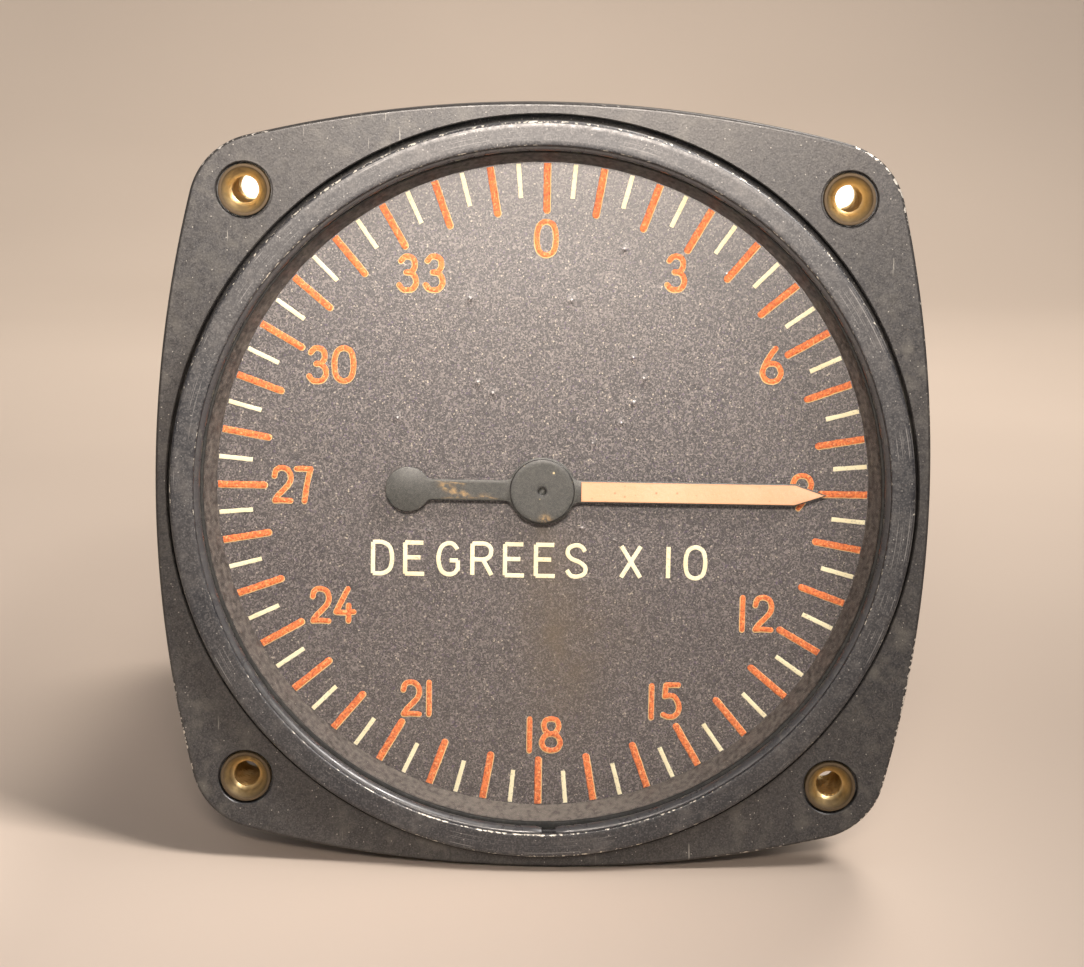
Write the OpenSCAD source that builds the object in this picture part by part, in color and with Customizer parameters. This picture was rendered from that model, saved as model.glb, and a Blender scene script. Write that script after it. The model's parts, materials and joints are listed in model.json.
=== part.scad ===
// Radio compass indicator for a standard 3-1/8 inch instrument panel hole.
// The pointer turns on the rotor of a synchro receiver inside the case.
// Every module is drawn with its z axis along the instrument's own axis:
// z = 0 is the front face of the flange and +z points to the viewer.
// place() then stands it up, so that the dial faces -Y and 0 on the dial is up.

/* [Flange] */
// Width of the flange between the groove and the middle of a side
flange_land = 1.2; // [1:0.05:3]
// Radius of the bulged sides
flange_side_r = 130; // [110:5:200]
// Radius of the four corners
flange_corner_r = 8; // [6:0.5:9]
// Thickness
flange_t = 6.4; // [5.4:0.1:8]

/* [Panel screw inserts] */
// Distance from the bezel ring's edge to the screw centres
screw_offset = 5.35; // [5:0.01:5.8]
// Outer radius of an insert
insert_r = 2.7; // [2.5:0.05:2.9]
// Radius of the bore that takes the thread
insert_bore_r = 1.4; // [1.1:0.05:1.6]
// Rim left round the countersunk mouth at the front
insert_rim = 0.3; // [0.2:0.05:0.6]
// Depth of the countersunk mouth
insert_mouth_depth = 1.3; // [0.8:0.1:2]
// Width of the shoulder behind the boss
insert_shoulder_w = 0.9; // [0.5:0.1:1.2]
// Thickness of the shoulder behind the boss
insert_shoulder_t = 1; // [0.6:0.1:1.5]
// Wall of the cast boss round an insert, behind the flange
boss_wall = 1.9; // [1.4:0.1:2.1]
// Height of the cast boss behind the flange
boss_h = 2.6; // [1:0.1:4]
// Width of the open ring round the front end of an insert
insert_ring_w = 0.25; // [0.1:0.05:0.4]
// Depth of the open ring round the front end of an insert
insert_ring_depth = 1.2; // [0.5:0.1:2]

/* [Case] */
// Wall round the thread that takes the bezel ring
thread_wall = 1.2; // [1:0.1:2]
// Wall of the barrel behind the inner ledge
case_wall = 2.2; // [1.8:0.1:2.6]
// How much the barrel's radius tapers from the flange to the back
case_draft = 0.4; // [0:0.1:0.8]
// Cove where the barrel meets the flange
case_cove = 1; // [0.4:0.1:1.5]
// Space behind the motor for the leads, up to the back edge
wiring_room = 18; // [16:0.5:40]
// Thickness of the inner ledge that carries dial and motor
ledge_t = 3; // [2.5:0.1:4]
// Width of the ledge
ledge_w = 4.5; // [4:0.1:5]
// Radius of the lugs that take the back cover's screws
lug_r = 4; // [3.6:0.1:4.3]
// Length of the lugs
lug_length = 12; // [10:0.5:14]

/* [Bezel ring] */
// Outer radius, which passes through the panel hole. The case, the flange
// and all that the case holds are set out from it
bezel_r = 39.1; // [36:0.05:45]
// Height above the flange
bezel_front = 2.4; // [2:0.1:3]
// Width of the flat front
bezel_w = 2.3; // [1.8:0.05:2.6]
// Thickness of the lip in front of the retaining ring
bezel_lip_t = 0.6; // [0.4:0.1:0.9]
// Step from the outer radius in to the skirt that screws into the case
skirt_step = 1.1; // [0.8:0.05:1.4]
// Wall of the skirt round glass, spacer and dial
skirt_wall = 1.4; // [1.1:0.05:1.8]
// Width of the open groove between the bezel ring and the flange
groove_w = 0.6; // [0.4:0.05:0.7]
// Depth of that groove
groove_depth = 2.4; // [2:0.1:3]
// Chamfer at the ring's front edges
bezel_edge = 0.3; // [0.1:0.05:0.4]

/* [Glass and its parts] */
// Radius of the wire that the split retaining ring is bent from
retainer_wire_r = 0.7; // [0.6:0.05:0.8]
// How far the retaining ring shows inside the bezel's mouth
retainer_show = 0.8; // [0.5:0.05:1]
// Opening at the split, in degrees
retainer_split = 2.4; // [1:0.2:6]
// Thickness of the gasket
gasket_t = 0.5; // [0.3:0.1:0.8]
// How far the gasket and the spacer show inside the retaining ring
gasket_show = 0.8; // [0.4:0.05:1.2]
// Thickness of the cover glass
glass_t = 1.5; // [1.2:0.1:1.6]
// Height of the spacer between glass and dial
spacer_h = 2.5; // [2.5:0.1:3.5]
// How much the spacer's wall leans in towards the dial
spacer_lean = 0.3; // [0:0.05:0.5]

/* [Dial] */
// Thickness of the dial plate
dial_t = 1; // [0.8:0.1:1.5]
// Clearance round the shaft in the dial's hole
dial_hole_gap = 0.4; // [0.2:0.05:0.8]
// Thickness of the painted graduations
paint_t = 0.12; // [0.05:0.01:0.2]
// Length of the long graduations
major_length = 5.5; // [5:0.1:6]
// Width of the long graduations
major_w = 0.86; // [0.6:0.02:1]
// Length of the short graduations
minor_length = 3.8; // [3:0.1:4.5]
// Width of the short graduations
minor_w = 0.56; // [0.4:0.02:0.7]
// Distance from the spacer to the graduations' outer ends
tick_gap = 0.1; // [0.05:0.05:0.3]

/* [Pointer] */
// Height of the blade's underside over the dial
pointer_lift = 1.35; // [1.1:0.05:1.4]
// Thickness of the blade
blade_t = 0.3; // [0.2:0.05:0.35]
// Width of the arm
arm_w = 2.4; // [1.8:0.1:3]
// How far the tip reaches over the long graduations
tip_reach = 0.9; // [0:0.1:2]
// Length of the tip, from the shoulder
tip_length = 3.4; // [2:0.1:5]
// Width of the tail
tail_w = 2.2; // [1.6:0.1:2.4]
// Distance from the axis to the centre of the counterweight
counter_x = 14.27; // [11:0.1:17]
// Radius of the counterweight
counter_r = 2.4; // [2:0.1:3.5]
// Rim of the blade that shows round the hub disc
blade_rim = 0.15; // [0.05:0.05:0.5]
// Fillet where the arm and the tail meet the round parts
blade_fillet = 0.8; // [0.4:0.1:1.2]
// Distance from the hub disc to the painted stretch of the arm
paint_start = 0.69; // [0.5:0.01:2]
// Bare margin along the edges of the painted stretch
paint_margin = 0.14; // [0.05:0.01:0.3]
// Radius of the hub disc
hub_r = 3.45; // [3:0.05:3.5]
// Thickness of the hub disc
hub_t = 0.4; // [0.3:0.05:0.45]
// Radius of the hub's collar below the blade
hub_collar_r = 1.75; // [1.6:0.05:1.9]
// Radius of the small hole in the middle of the hub disc
dimple_r = 0.6; // [0.4:0.05:0.75]

/* [Bearings] */
// Radius of the bearing bore
bearing_bore_r = 1.6; // [1.5:0.02:1.7]
// Thickness of a bearing between its bore and its outside
bearing_section = 3.1625; // [2.9:0.0125:3.4]
// Width of a bearing
bearing_w = 3.97; // [3.6:0.01:4.2]
// Radius of a ball
ball_r = 0.79375; // [0.7:0.005:0.8]
// Clearance between a ball and its tracks
ball_gap = 0.04; // [0.02:0.01:0.06]
// Wall in front of a bearing in its end bell
bearing_lip = 1; // [0.6:0.1:1.5]

/* [Synchro receiver] */
// Space between the barrel's bore and the motor, for its ears
motor_room = 8.5; // [8:0.1:9.5]
// Wall of the housing tube
housing_wall = 1.5; // [1:0.1:2]
// Length of the stator's lamination stack
stack_length = 28; // [24:0.5:30]
// Distance from the housing's front edge to the stack
stack_inset = 10; // [9.5:0.5:12]
// Thickness of the stack behind the slots
yoke_t = 4.5; // [3.5:0.1:5.5]
// Depth of the slots, from the bore
slot_depth = 8; // [6.5:0.1:8.5]
// Width of a tooth between two slots
tooth_w = 3.4; // [2.8:0.1:4]
// Height of the stator's end turns
end_turn_t = 5.5; // [4:0.1:6.5]
// Width of a slot's mouth
slot_mouth_w = 1.6; // [1.2:0.1:2.2]
// Air gap between rotor and stator
air_gap = 0.3; // [0.2:0.05:0.5]
// Width of the rotor's neck, round which its coils are wound
neck_w = 9; // [8:0.1:10]
// Thickness of a pole shoe
shoe_t = 5.2; // [4.5:0.1:6]
// Height of the rotor's coils over the core
coil_build = 4.2; // [3:0.1:4.6]
// Thickness of the end bells
bell_t = 4; // [3.5:0.1:5]
// Thickness of the mounting plate
plate_t = 2; // [1.5:0.1:2.5]
// Step from the bearings' bore up to the shaft between them
shaft_step = 0.8; // [0.5:0.05:1]
// Radius of the shaft's end in the pointer hub
shaft_tip_r = 0.95; // [0.85:0.01:1]

/* [Slip rings and brushes] */
// Height of the slip rings over the shaft
slip_build = 1.8; // [1.6:0.05:2.1]
// Width of a slip ring
slip_w = 2.2; // [1.8:0.1:2.4]
// Distance between the middles of the two slip rings
slip_pitch = 3.6; // [3.4:0.1:3.8]
// Radius of a brush
brush_r = 0.9; // [0.7:0.05:0.9]
// Length of a brush
brush_length = 1.3; // [1.1:0.1:1.5]
// Gap between a brush and its slip ring
brush_gap = 0.05; // [0.02:0.01:0.1]
// Thickness of the leaf springs
leaf_t = 0.25; // [0.15:0.05:0.35]

/* [Back cover and receptacle] */
// Thickness of the back cover
cover_t = 2.5; // [2:0.1:3.5]
// Thickness of the flat gaskets at the back
back_gasket_t = 0.8; // [0.5:0.1:1.2]
// Radius of the receptacle's threaded shell
shell_r = 11.11; // [10.8:0.01:11.5]
// Wall of the shell at its mouth
shell_wall = 1.5; // [1.2:0.1:1.7]
// Distance from the receptacle's seat to its mouth
shell_length = 14.3; // [13:0.1:16]
// Distance from the receptacle's screws to the edge of its square flange
rec_edge = 3.6; // [3:0.1:4.5]
// Thickness of the square flange
rec_flange_t = 2.5; // [2:0.1:3]
// Corner radius of the square flange
rec_corner_r = 3; // [2:0.1:3.5]
// Distance between the receptacle's screws
rec_spacing = 23; // [22.6:0.1:23.6]
// Radius of the circle that the contact pins stand on
pin_circle_r = 5.2; // [5:0.05:5.6]
// Radius of a contact pin
pin_r = 0.79; // [0.7:0.01:0.9]
// Distance from the receptacle's seat to its contact face
face_depth = 6.7; // [5:0.1:8]
// Distance from the receptacle's seat to the solder cups' ends
cup_reach = 8.3; // [7:0.1:10]

/* [Hidden] */
$fn = 96;

// Clearances
// Round a part that drops into its seat
seat_gap = 0.1;
// Round a part that is pressed or screwed in
press_gap = 0.02;
// Round a screw in its hole
screw_gap = 0.05;
// Extra depth that makes a cut break through cleanly
cut = 1;

// Screws, as shank radius, head radius and head height
plate_screw = [1.1, 1.9, 1.4];
cover_screw = [1.42, 2.6, 1.9];
rec_screw = [1.42, 2.5, 1.6];
tie_bolt = [1.4, 2.4, 2];
brush_screw = [0.9, 1.6, 1.1];

// Angles of what repeats round the axis
quarters = [0, 90, 180, 270];
lug_angles = [45, 135, 225, 315];
plate_screw_angles = [22.5, 112.5, 202.5, 292.5];

// Radii of the case and of what it holds in front
groove_r = bezel_r + groove_w;
flange_half = groove_r + flange_land;
bezel_mouth_r = bezel_r - bezel_w;
relief_r = bezel_r - 0.5;
skirt_r = bezel_r - skirt_step;
seat_r = skirt_r - skirt_wall;
seated_r = seat_r - seat_gap;
retainer_r = bezel_mouth_r - retainer_show;
gasket_bore_r = retainer_r - gasket_show;
spacer_foot_r = gasket_bore_r - spacer_lean;
case_r = skirt_r + thread_wall;
case_back_r = case_r - case_draft;
case_bore_r = case_r - case_wall;
ledge_bore_r = case_bore_r - ledge_w;
lug_circle_r = case_bore_r - lug_r + 0.6;
key_circle_r = (spacer_foot_r + seated_r) / 2;
key_r = 0.5;
tick_end_r = spacer_foot_r - tick_gap;
major_r = tick_end_r - major_length;
minor_r = tick_end_r - minor_length;

// Panel screw inserts
screw_circle_r = bezel_r + screw_offset;
screw_half = screw_circle_r * sqrt(0.5);
insert_ring_r = insert_r + insert_ring_w;
insert_mouth_r = insert_r - insert_rim;
insert_sink = 0.1;
insert_end_z = -flange_t - boss_h;

// Radii of the motor
housing_r = case_bore_r - motor_room;
housing_bore_r = housing_r - housing_wall;
slot_bottom_r = housing_bore_r - yoke_t;
stator_bore_r = slot_bottom_r - slot_depth;
rotor_r = stator_bore_r - air_gap;
pole_x = rotor_r - shoe_t;
tie_circle_r = housing_r + 2.7;
ear_r = 3;
bell_window_r = 4;
bearing_r = bearing_bore_r + bearing_section;
journal_r = bearing_bore_r - press_gap;
shaft_r = bearing_bore_r + shaft_step;
pitch_r = (bearing_bore_r + bearing_r) / 2;
track_r = ball_r + ball_gap;
ring_step = 0.55;
shaft_hole_r = bearing_r - 1.5;
boss_r = bearing_r + 2.6;
plate_r = case_bore_r - 0.15;
plate_screw_circle_r = (ledge_bore_r + case_bore_r) / 2;
slip_r = shaft_r + slip_build;
slip_core_r = slip_r - 1;

// Radii of the receptacle
shell_bore_r = shell_r - shell_wall;
insert_body_r = shell_bore_r - 0.8;
cover_hole_r = insert_body_r + 1.2;
rec_flange = rec_spacing + 2 * rec_edge;
pin_body_r = pin_r + 0.41;

// Depths along the axis, front to back
retainer_z = bezel_front - bezel_lip_t - retainer_wire_r;
gasket_z = retainer_z - retainer_wire_r;
glass_z = gasket_z - gasket_t;
spacer_z = glass_z - glass_t;
dial_z = spacer_z - spacer_h;
ledge_z = dial_z - dial_t;
plate_z = ledge_z - ledge_t;
bell_z = plate_z - plate_t;
housing_z = bell_z - bell_t;
stack_z = housing_z - stack_inset;
stack_end_z = stack_z - stack_length;

// Behind the stack: rotor coils, slip rings, rear bearing and bell
core_inset = 0.5;
coil_gap = 0.4;
coil_end_z = stack_end_z + coil_gap - coil_build;
slip_space = 0.6;
slip_end = 0.3;
slip_front_z = coil_end_z - slip_space - slip_end - slip_pitch / 2;
slip_z = [slip_front_z, slip_front_z - slip_pitch];
slip_back_z = slip_z[1] - slip_pitch / 2 - slip_end;
rear_bearing_z = slip_back_z - 0.8;
rear_bell_z = rear_bearing_z - bearing_lip;
board_z = rear_bell_z - bell_t;

// Terminal board, leads, back of the case and receptacle
board_t = 1.6;
board_edge_y = 5.5;
tab_length = 4.5;
tab_w = 2.4;
tab_t = 0.6;
tab_end_z = board_z - board_t - tab_length;
back_z = tab_end_z - wiring_room;
cover_z = back_z - back_gasket_t;
rec_gasket_z = cover_z - cover_t;
rec_z = rec_gasket_z - back_gasket_t;
shell_end_z = rec_z - shell_length;
contact_face_z = rec_z - face_depth;
cup_z = rec_z + cup_reach;
cup_depth = 3;
insert_back_z = cup_z - 2.2;
insert_step = 1.5;
pin_end_z = shell_end_z + 1.5;

// Pointer, from the dial up
blade_z = dial_z + pointer_lift;
hub_z = blade_z + blade_t;
blade_middle_r = hub_r + blade_rim;
tip_x = major_r + tip_reach;
shoulder_x = tip_x - tip_length;
paint_x = hub_r + paint_start;
dial_hole_r = bearing_bore_r + dial_hole_gap;

// Bearings
pocket_r = bearing_r + press_gap;
front_bearing_z = bell_z - bearing_lip;
ball_count = 7;
spring_t = 0.35;

// Brush blocks
leaf_x = slip_r + brush_gap + brush_length;
block_x = leaf_x + leaf_t;
block_w = 4.2;
block_y = 6;
block_h = 5;
block_screw_x = block_x + block_w / 2;
block_screw_y = block_y + block_h / 2;

// Terminals, as [x, y] of each lug, and the angle of the pin that each one feeds
terminal_circle_r = (stator_bore_r + slot_bottom_r) / 2 + 1.5;
lug_angles_on_board = [150, 120, 90, 60, 30];
lugs = [for (a = lug_angles_on_board) terminal_circle_r * [cos(a), sin(a)]];
lug_pin_angles = [234, 162, 90, 18, 306];
lug_levels = [0, 1, 2, 1, 0];
lead_height = 3.6;
rivet_r = 0.8;
wire_r = 0.6;
wire_bend = 1.6;
level_step = 2.6;

module place() {
    rotate([90, 0, 0]) children();
}

// Straight round bar, from z = low to z = high
module bar(r, low, high) {
    translate([0, 0, low]) cylinder(r = r, h = high - low);
}

// Round tube, from z = low to z = high
module tube(outer, inner, low, high) {
    difference() {
        bar(outer, low, high);
        bar(inner, low - cut, high + cut);
    }
}

// Copies at a radius, one for each angle
module around(r, angles) {
    for (a = angles) rotate(a) translate([r, 0, 0]) children();
}

// Screw with its head above z = 0 and its shank down to z = -length
module screw(size, length) {
    bar(size[0], -length, 0);
    difference() {
        bar(size[1], 0, size[2]);
        translate([-size[1] - cut, -0.3, size[2] * 0.55])
            cube([2 * (size[1] + cut), 0.6, size[2]]);
    }
}

// Flange outline: four bulged sides that meet in round corners.
// A corner's centre lies where its arc is tangent to both side arcs.
module flange_outline() {
    side_shift = flange_side_r - flange_half;
    inner_side_r = flange_side_r - flange_corner_r;
    corner = (sqrt(2 * pow(inner_side_r, 2) - pow(side_shift, 2)) - side_shift) / 2;
    lean = atan2(corner, corner + side_shift);
    reach = flange_corner_r * 3;
    difference() {
        intersection_for (a = quarters)
            rotate(a) translate([-side_shift, 0]) circle(r = flange_side_r, $fn = 720);
        for (a = quarters) rotate(a) translate([corner, corner])
            polygon([[0, 0], reach * [cos(lean), sin(lean)], reach * [1.5, 1.5],
                reach * [sin(lean), cos(lean)]]);
    }
    for (a = quarters) rotate(a) translate([corner, corner]) circle(r = flange_corner_r);
}

// Square with round corners
module rounded_square(side, r) {
    inner = side / 2 - r;
    square([side, 2 * inner], center = true);
    square([2 * inner, side], center = true);
    for (a = quarters) rotate(a) translate([inner, inner]) circle(r = r);
}

module at_inserts() {
    for (x = [-screw_half, screw_half], y = [-screw_half, screw_half])
        translate([x, y, 0]) children();
}

// Barrel with its draft, and a cove where it meets the flange
module barrel() {
    difference() {
        rotate_extrude() polygon([[0, back_z], [case_back_r, back_z], [case_r, -flange_t - case_cove],
            [case_r + case_cove, -flange_t], [case_r, -flange_t / 2], [0, -flange_t / 2]]);
        translate([0, 0, -flange_t - case_cove]) rotate_extrude()
            translate([case_r + case_cove, 0]) circle(r = case_cove, $fn = 48);
    }
}

// Cast boss round each insert, tied to the barrel by a web of its own width
module insert_bosses() {
    r = insert_r + boss_wall;
    around(0, lug_angles) {
        translate([screw_circle_r, 0, 0]) bar(r, insert_end_z, -flange_t / 2);
        translate([case_r - 1, -r, insert_end_z])
            cube([screw_circle_r - case_r + 1, 2 * r, -flange_t / 2 - insert_end_z]);
    }
}

module case() {
    color("dimgray") place() difference() {
        union() {
            translate([0, 0, -flange_t]) linear_extrude(flange_t) flange_outline();
            barrel();
            insert_bosses();
        }
        bar(groove_r, -groove_depth, cut);
        bar(skirt_r + screw_gap, ledge_z, 0);
        bar(ledge_bore_r, plate_z - cut, ledge_z + cut);
        difference() {
            bar(case_bore_r, back_z - cut, plate_z);
            around(lug_circle_r, lug_angles) bar(lug_r, back_z - 2 * cut, back_z + lug_length);
        }
        around(lug_circle_r, lug_angles)
            bar(cover_screw[0] + screw_gap, back_z - cut, back_z + lug_length - 2);
        around(plate_screw_circle_r, plate_screw_angles)
            bar(plate_screw[0] + screw_gap, plate_z - cut, ledge_z - 0.4);
        around(key_circle_r, [-90]) bar(key_r + screw_gap, ledge_z - 2, ledge_z + cut);
        at_inserts() bar(insert_r + press_gap, insert_end_z - cut, cut);
        at_inserts() bar(insert_ring_r, -insert_ring_depth, cut);
    }
}

module mounting_inserts() {
    color("goldenrod") place() at_inserts() difference() {
        union() {
            bar(insert_r, insert_end_z, -insert_sink);
            bar(insert_r + insert_shoulder_w, insert_end_z - insert_shoulder_t, insert_end_z);
        }
        bar(insert_bore_r, insert_end_z - insert_shoulder_t - cut, cut);
        translate([0, 0, -insert_sink - insert_mouth_depth])
            cylinder(r1 = insert_bore_r + 0.35, r2 = insert_mouth_r, h = insert_mouth_depth);
        bar(insert_mouth_r, -2 * insert_sink, cut);
    }
}

module bezel_ring() {
    track_out_r = retainer_r + 2 * retainer_wire_r + seat_gap;
    color("#222222") place() rotate_extrude() polygon([
        [seat_r, ledge_z], [skirt_r, ledge_z], [skirt_r, -groove_depth],
        [relief_r, -groove_depth], [relief_r, -seat_gap], [bezel_r, -seat_gap],
        [bezel_r, bezel_front - bezel_edge], [bezel_r - bezel_edge, bezel_front],
        [bezel_mouth_r + bezel_edge / 2, bezel_front],
        [bezel_mouth_r, bezel_front - bezel_edge / 2],
        [bezel_mouth_r, retainer_z + retainer_wire_r],
        [track_out_r, retainer_z + retainer_wire_r], [track_out_r, gasket_z],
        [seat_r, gasket_z]]);
}

// Split ring of round wire, with its split at the bottom
module glass_retainer() {
    color("#111111") place() rotate(-88 + retainer_split / 2)
        rotate_extrude(angle = 360 - retainer_split)
            translate([retainer_r + retainer_wire_r, retainer_z]) circle(r = retainer_wire_r, $fn = 48);
}

module glass_gasket() {
    color("black") place() tube(seated_r, gasket_bore_r, glass_z, gasket_z);
}

module cover_glass() {
    color("lightcyan", 0.35) place() bar(seated_r, spacer_z, glass_z);
}

module dial_spacer() {
    color("#3a332c") place() rotate_extrude() polygon([[spacer_foot_r, dial_z],
        [seated_r, dial_z], [seated_r, spacer_z], [gasket_bore_r, spacer_z]]);
}

module dial_plate() {
    color("#4a4846") place() difference() {
        bar(seated_r, ledge_z, dial_z);
        bar(dial_hole_r, ledge_z - cut, dial_z + cut);
        around(key_circle_r, [-90]) bar(key_r + screw_gap, ledge_z - cut, dial_z + cut);
    }
}

// Pin that keeps the dial from turning, under the spacer
module dial_key() {
    color("silver") place() around(key_circle_r, [-90]) bar(key_r, ledge_z - 1.9, dial_z - 0.1);
}

// One graduation along +x, with a round inner end
module tick(inner, width) {
    round_r = width / 2;
    translate([0, 0, dial_z]) linear_extrude(paint_t) {
        translate([inner + round_r, -round_r]) square([tick_end_r - inner - round_r, width]);
        translate([inner + round_r, 0]) circle(r = round_r, $fn = 24);
    }
}

module major_graduations() {
    color("orangered") place() for (a = [0:10:350]) rotate(a) tick(major_r, major_w);
}

module minor_graduations() {
    color("khaki") place() for (a = [5:10:355]) rotate(a) tick(minor_r, minor_w);
}

// Pointer arm along +x, narrowed by a margin all round
module arm_outline(start, margin) {
    half = arm_w / 2 - margin;
    polygon([[start, -half], [shoulder_x, -half], [tip_x - margin * 1.8, 0],
        [shoulder_x, half], [start, half]]);
}

// The two fillets between a disc at the origin and a bar that leaves it along +x.
// They stop just short of tangent, so that the edges cross cleanly.
module disc_fillets(disc_r, bar_w) {
    x = sqrt(pow(disc_r + blade_fillet, 2) - pow(bar_w / 2 + blade_fillet, 2));
    for (s = [0, 1]) mirror([0, s]) difference() {
        polygon([[0, 0], [x, 0], [x, bar_w / 2 + blade_fillet],
            [x, bar_w / 2 + blade_fillet] * disc_r / (disc_r + blade_fillet)]);
        translate([x, bar_w / 2 + blade_fillet]) circle(r = blade_fillet + press_gap, $fn = 48);
    }
}

module pointer() {
    color("dimgray") place() translate([0, 0, blade_z]) linear_extrude(blade_t) difference() {
        union() {
            arm_outline(0, 0);
            translate([-counter_x, -tail_w / 2]) square([counter_x, tail_w]);
            translate([-counter_x, 0]) {
                circle(r = counter_r);
                disc_fillets(counter_r, tail_w);
            }
            circle(r = blade_middle_r);
            disc_fillets(blade_middle_r, arm_w);
            rotate(180) disc_fillets(blade_middle_r, tail_w);
        }
        circle(r = shaft_tip_r + 0.3);
    }
}

module pointer_paint() {
    color("navajowhite") place() translate([0, 0, hub_z]) linear_extrude(paint_t)
        arm_outline(paint_x, paint_margin);
}

// Disc on the blade, with a spigot through it and a collar below
module pointer_hub() {
    color("gray") place() difference() {
        union() {
            bar(hub_r, hub_z, hub_z + hub_t);
            bar(shaft_tip_r + 0.28, blade_z, hub_z + hub_t / 2);
            bar(hub_collar_r, blade_z - 0.85, blade_z);
        }
        bar(shaft_tip_r + press_gap, blade_z - cut, hub_z);
        bar(dimple_r, hub_z - cut, hub_z + hub_t + cut);
    }
}

module rotor_shaft() {
    front_end = front_bearing_z - bearing_w;
    color("silver") place() {
        bar(shaft_tip_r, blade_z - 1.2, hub_z - 0.05);
        bar(journal_r, front_end, blade_z - 1.1);
        bar(shaft_r, rear_bearing_z, front_end);
        bar(journal_r, rear_bearing_z - bearing_w - 0.9, rear_bearing_z);
    }
}

// Two pole shoes joined by a neck
module rotor_core() {
    color("#8a8f94") place() translate([0, 0, stack_end_z + core_inset])
        linear_extrude(stack_length - 2 * core_inset) difference() {
            intersection() {
                circle(r = rotor_r);
                union() {
                    square([2 * rotor_r, neck_w], center = true);
                    for (s = [-1, 1]) translate([s * (pole_x + shoe_t), 0])
                        square([2 * shoe_t, 2 * rotor_r], center = true);
                }
            }
            circle(r = shaft_r + press_gap);
        }
}

// Outside of a coil: a rectangle whose corners are round, as wound wire lies
module coil_outline(hole_z, hole_y) {
    square([hole_z + 2 * coil_build, hole_y], center = true);
    square([hole_z, hole_y + 2 * coil_build], center = true);
    for (u = [-1, 1], v = [-1, 1]) translate([u * hole_z / 2, v * hole_y / 2])
        circle(r = coil_build, $fn = 48);
}

// A coil on each side of the shaft, wound round the neck
module rotor_windings() {
    inner_x = shaft_r + coil_gap;
    outer_x = pole_x - coil_gap / 2;
    hole_y = neck_w + 0.3;
    hole_z = stack_length - 2 * coil_gap;
    color("#b87333") place() for (s = [-1, 1])
        translate([s * (inner_x + outer_x) / 2, 0, stack_z - stack_length / 2])
            rotate([0, 90, 0]) linear_extrude(outer_x - inner_x, center = true) difference() {
                coil_outline(hole_z, hole_y);
                square([hole_z, hole_y], center = true);
            }
}

module slip_ring_insulator() {
    high = slip_z[0] + slip_pitch / 2 + slip_end;
    color("saddlebrown") place() difference() {
        bar(slip_r - 0.3, slip_back_z, high);
        bar(shaft_r + press_gap, slip_back_z - cut, high + cut);
        for (z = slip_z) tube(slip_r, slip_core_r, z - slip_w / 2 - press_gap,
            z + slip_w / 2 + press_gap);
    }
}

module slip_rings() {
    color("gainsboro") place() for (z = slip_z)
        tube(slip_r, slip_core_r + press_gap, z - slip_w / 2, z + slip_w / 2);
}

// The bearings are drawn with their front face at z = 0
module inner_ring() {
    difference() {
        tube(pitch_r - ring_step, bearing_bore_r, -bearing_w, 0);
        translate([0, 0, -bearing_w / 2]) rotate_extrude()
            translate([pitch_r, 0]) circle(r = track_r, $fn = 48);
    }
}

module outer_ring() {
    difference() {
        tube(bearing_r, pitch_r + ring_step, -bearing_w, 0);
        translate([0, 0, -bearing_w / 2]) rotate_extrude()
            translate([pitch_r, 0]) circle(r = track_r, $fn = 48);
    }
}

module balls() {
    for (i = [0:ball_count - 1]) rotate(i * 360 / ball_count)
        translate([pitch_r, 0, -bearing_w / 2]) sphere(r = ball_r, $fn = 48);
}

module cage() {
    difference() {
        tube(pitch_r + 0.25, pitch_r - 0.25, -bearing_w / 2 - 1.25, -bearing_w / 2 + 1.25);
        for (i = [0:ball_count - 1]) rotate(i * 360 / ball_count)
            translate([pitch_r - 1, 0, -bearing_w / 2]) rotate([0, 90, 0])
                cylinder(r = ball_r + press_gap, h = 2, $fn = 48);
    }
}

module at_front_bearing() {
    place() translate([0, 0, front_bearing_z]) children();
}

module at_rear_bearing() {
    place() translate([0, 0, rear_bearing_z]) children();
}

module front_inner_ring() {
    color("lightsteelblue") at_front_bearing() inner_ring();
}

module front_balls() {
    color("white") at_front_bearing() balls();
}

module front_cage() {
    color("darkgoldenrod") at_front_bearing() cage();
}

module front_outer_ring() {
    color("lightsteelblue") at_front_bearing() outer_ring();
}

module rear_inner_ring() {
    color("lightsteelblue") at_rear_bearing() inner_ring();
}

module rear_balls() {
    color("white") at_rear_bearing() balls();
}

module rear_cage() {
    color("darkgoldenrod") at_rear_bearing() cage();
}

module rear_outer_ring() {
    color("lightsteelblue") at_rear_bearing() outer_ring();
}

// Spring washer that loads the rear bearing, drawn pressed flat
module preload_spring() {
    color("silver") place() translate([0, 0, rear_bearing_z - bearing_w])
        tube(bearing_r - 0.1, shaft_hole_r + 0.2, -spring_t, 0);
}

// Clips that keep the shaft between the bearings
module shaft_rings() {
    color("dimgray") place() for (z = [front_bearing_z, rear_bearing_z - bearing_w - 0.5])
        translate([0, 0, z]) difference() {
            tube(journal_r + 0.9, journal_r + press_gap, 0, 0.5);
            translate([0, -0.5, -cut]) cube([shaft_hole_r, 1, 1 + 2 * cut]);
        }
}

// Spider plate that carries the motor; its notches pass the lugs
module mounting_plate() {
    color("lightgray") place() difference() {
        bar(plate_r, bell_z, plate_z);
        bar(boss_r + seat_gap, bell_z - cut, plate_z + cut);
        around(lug_circle_r + 1, lug_angles) bar(lug_r + 0.6, bell_z - cut, plate_z + cut);
        around(plate_screw_circle_r, plate_screw_angles)
            bar(plate_screw[0] + screw_gap, bell_z - cut, plate_z + cut);
        around(tie_circle_r, quarters)
            bar(tie_bolt[0] + screw_gap, bell_z - cut, plate_z + cut);
    }
}

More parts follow.
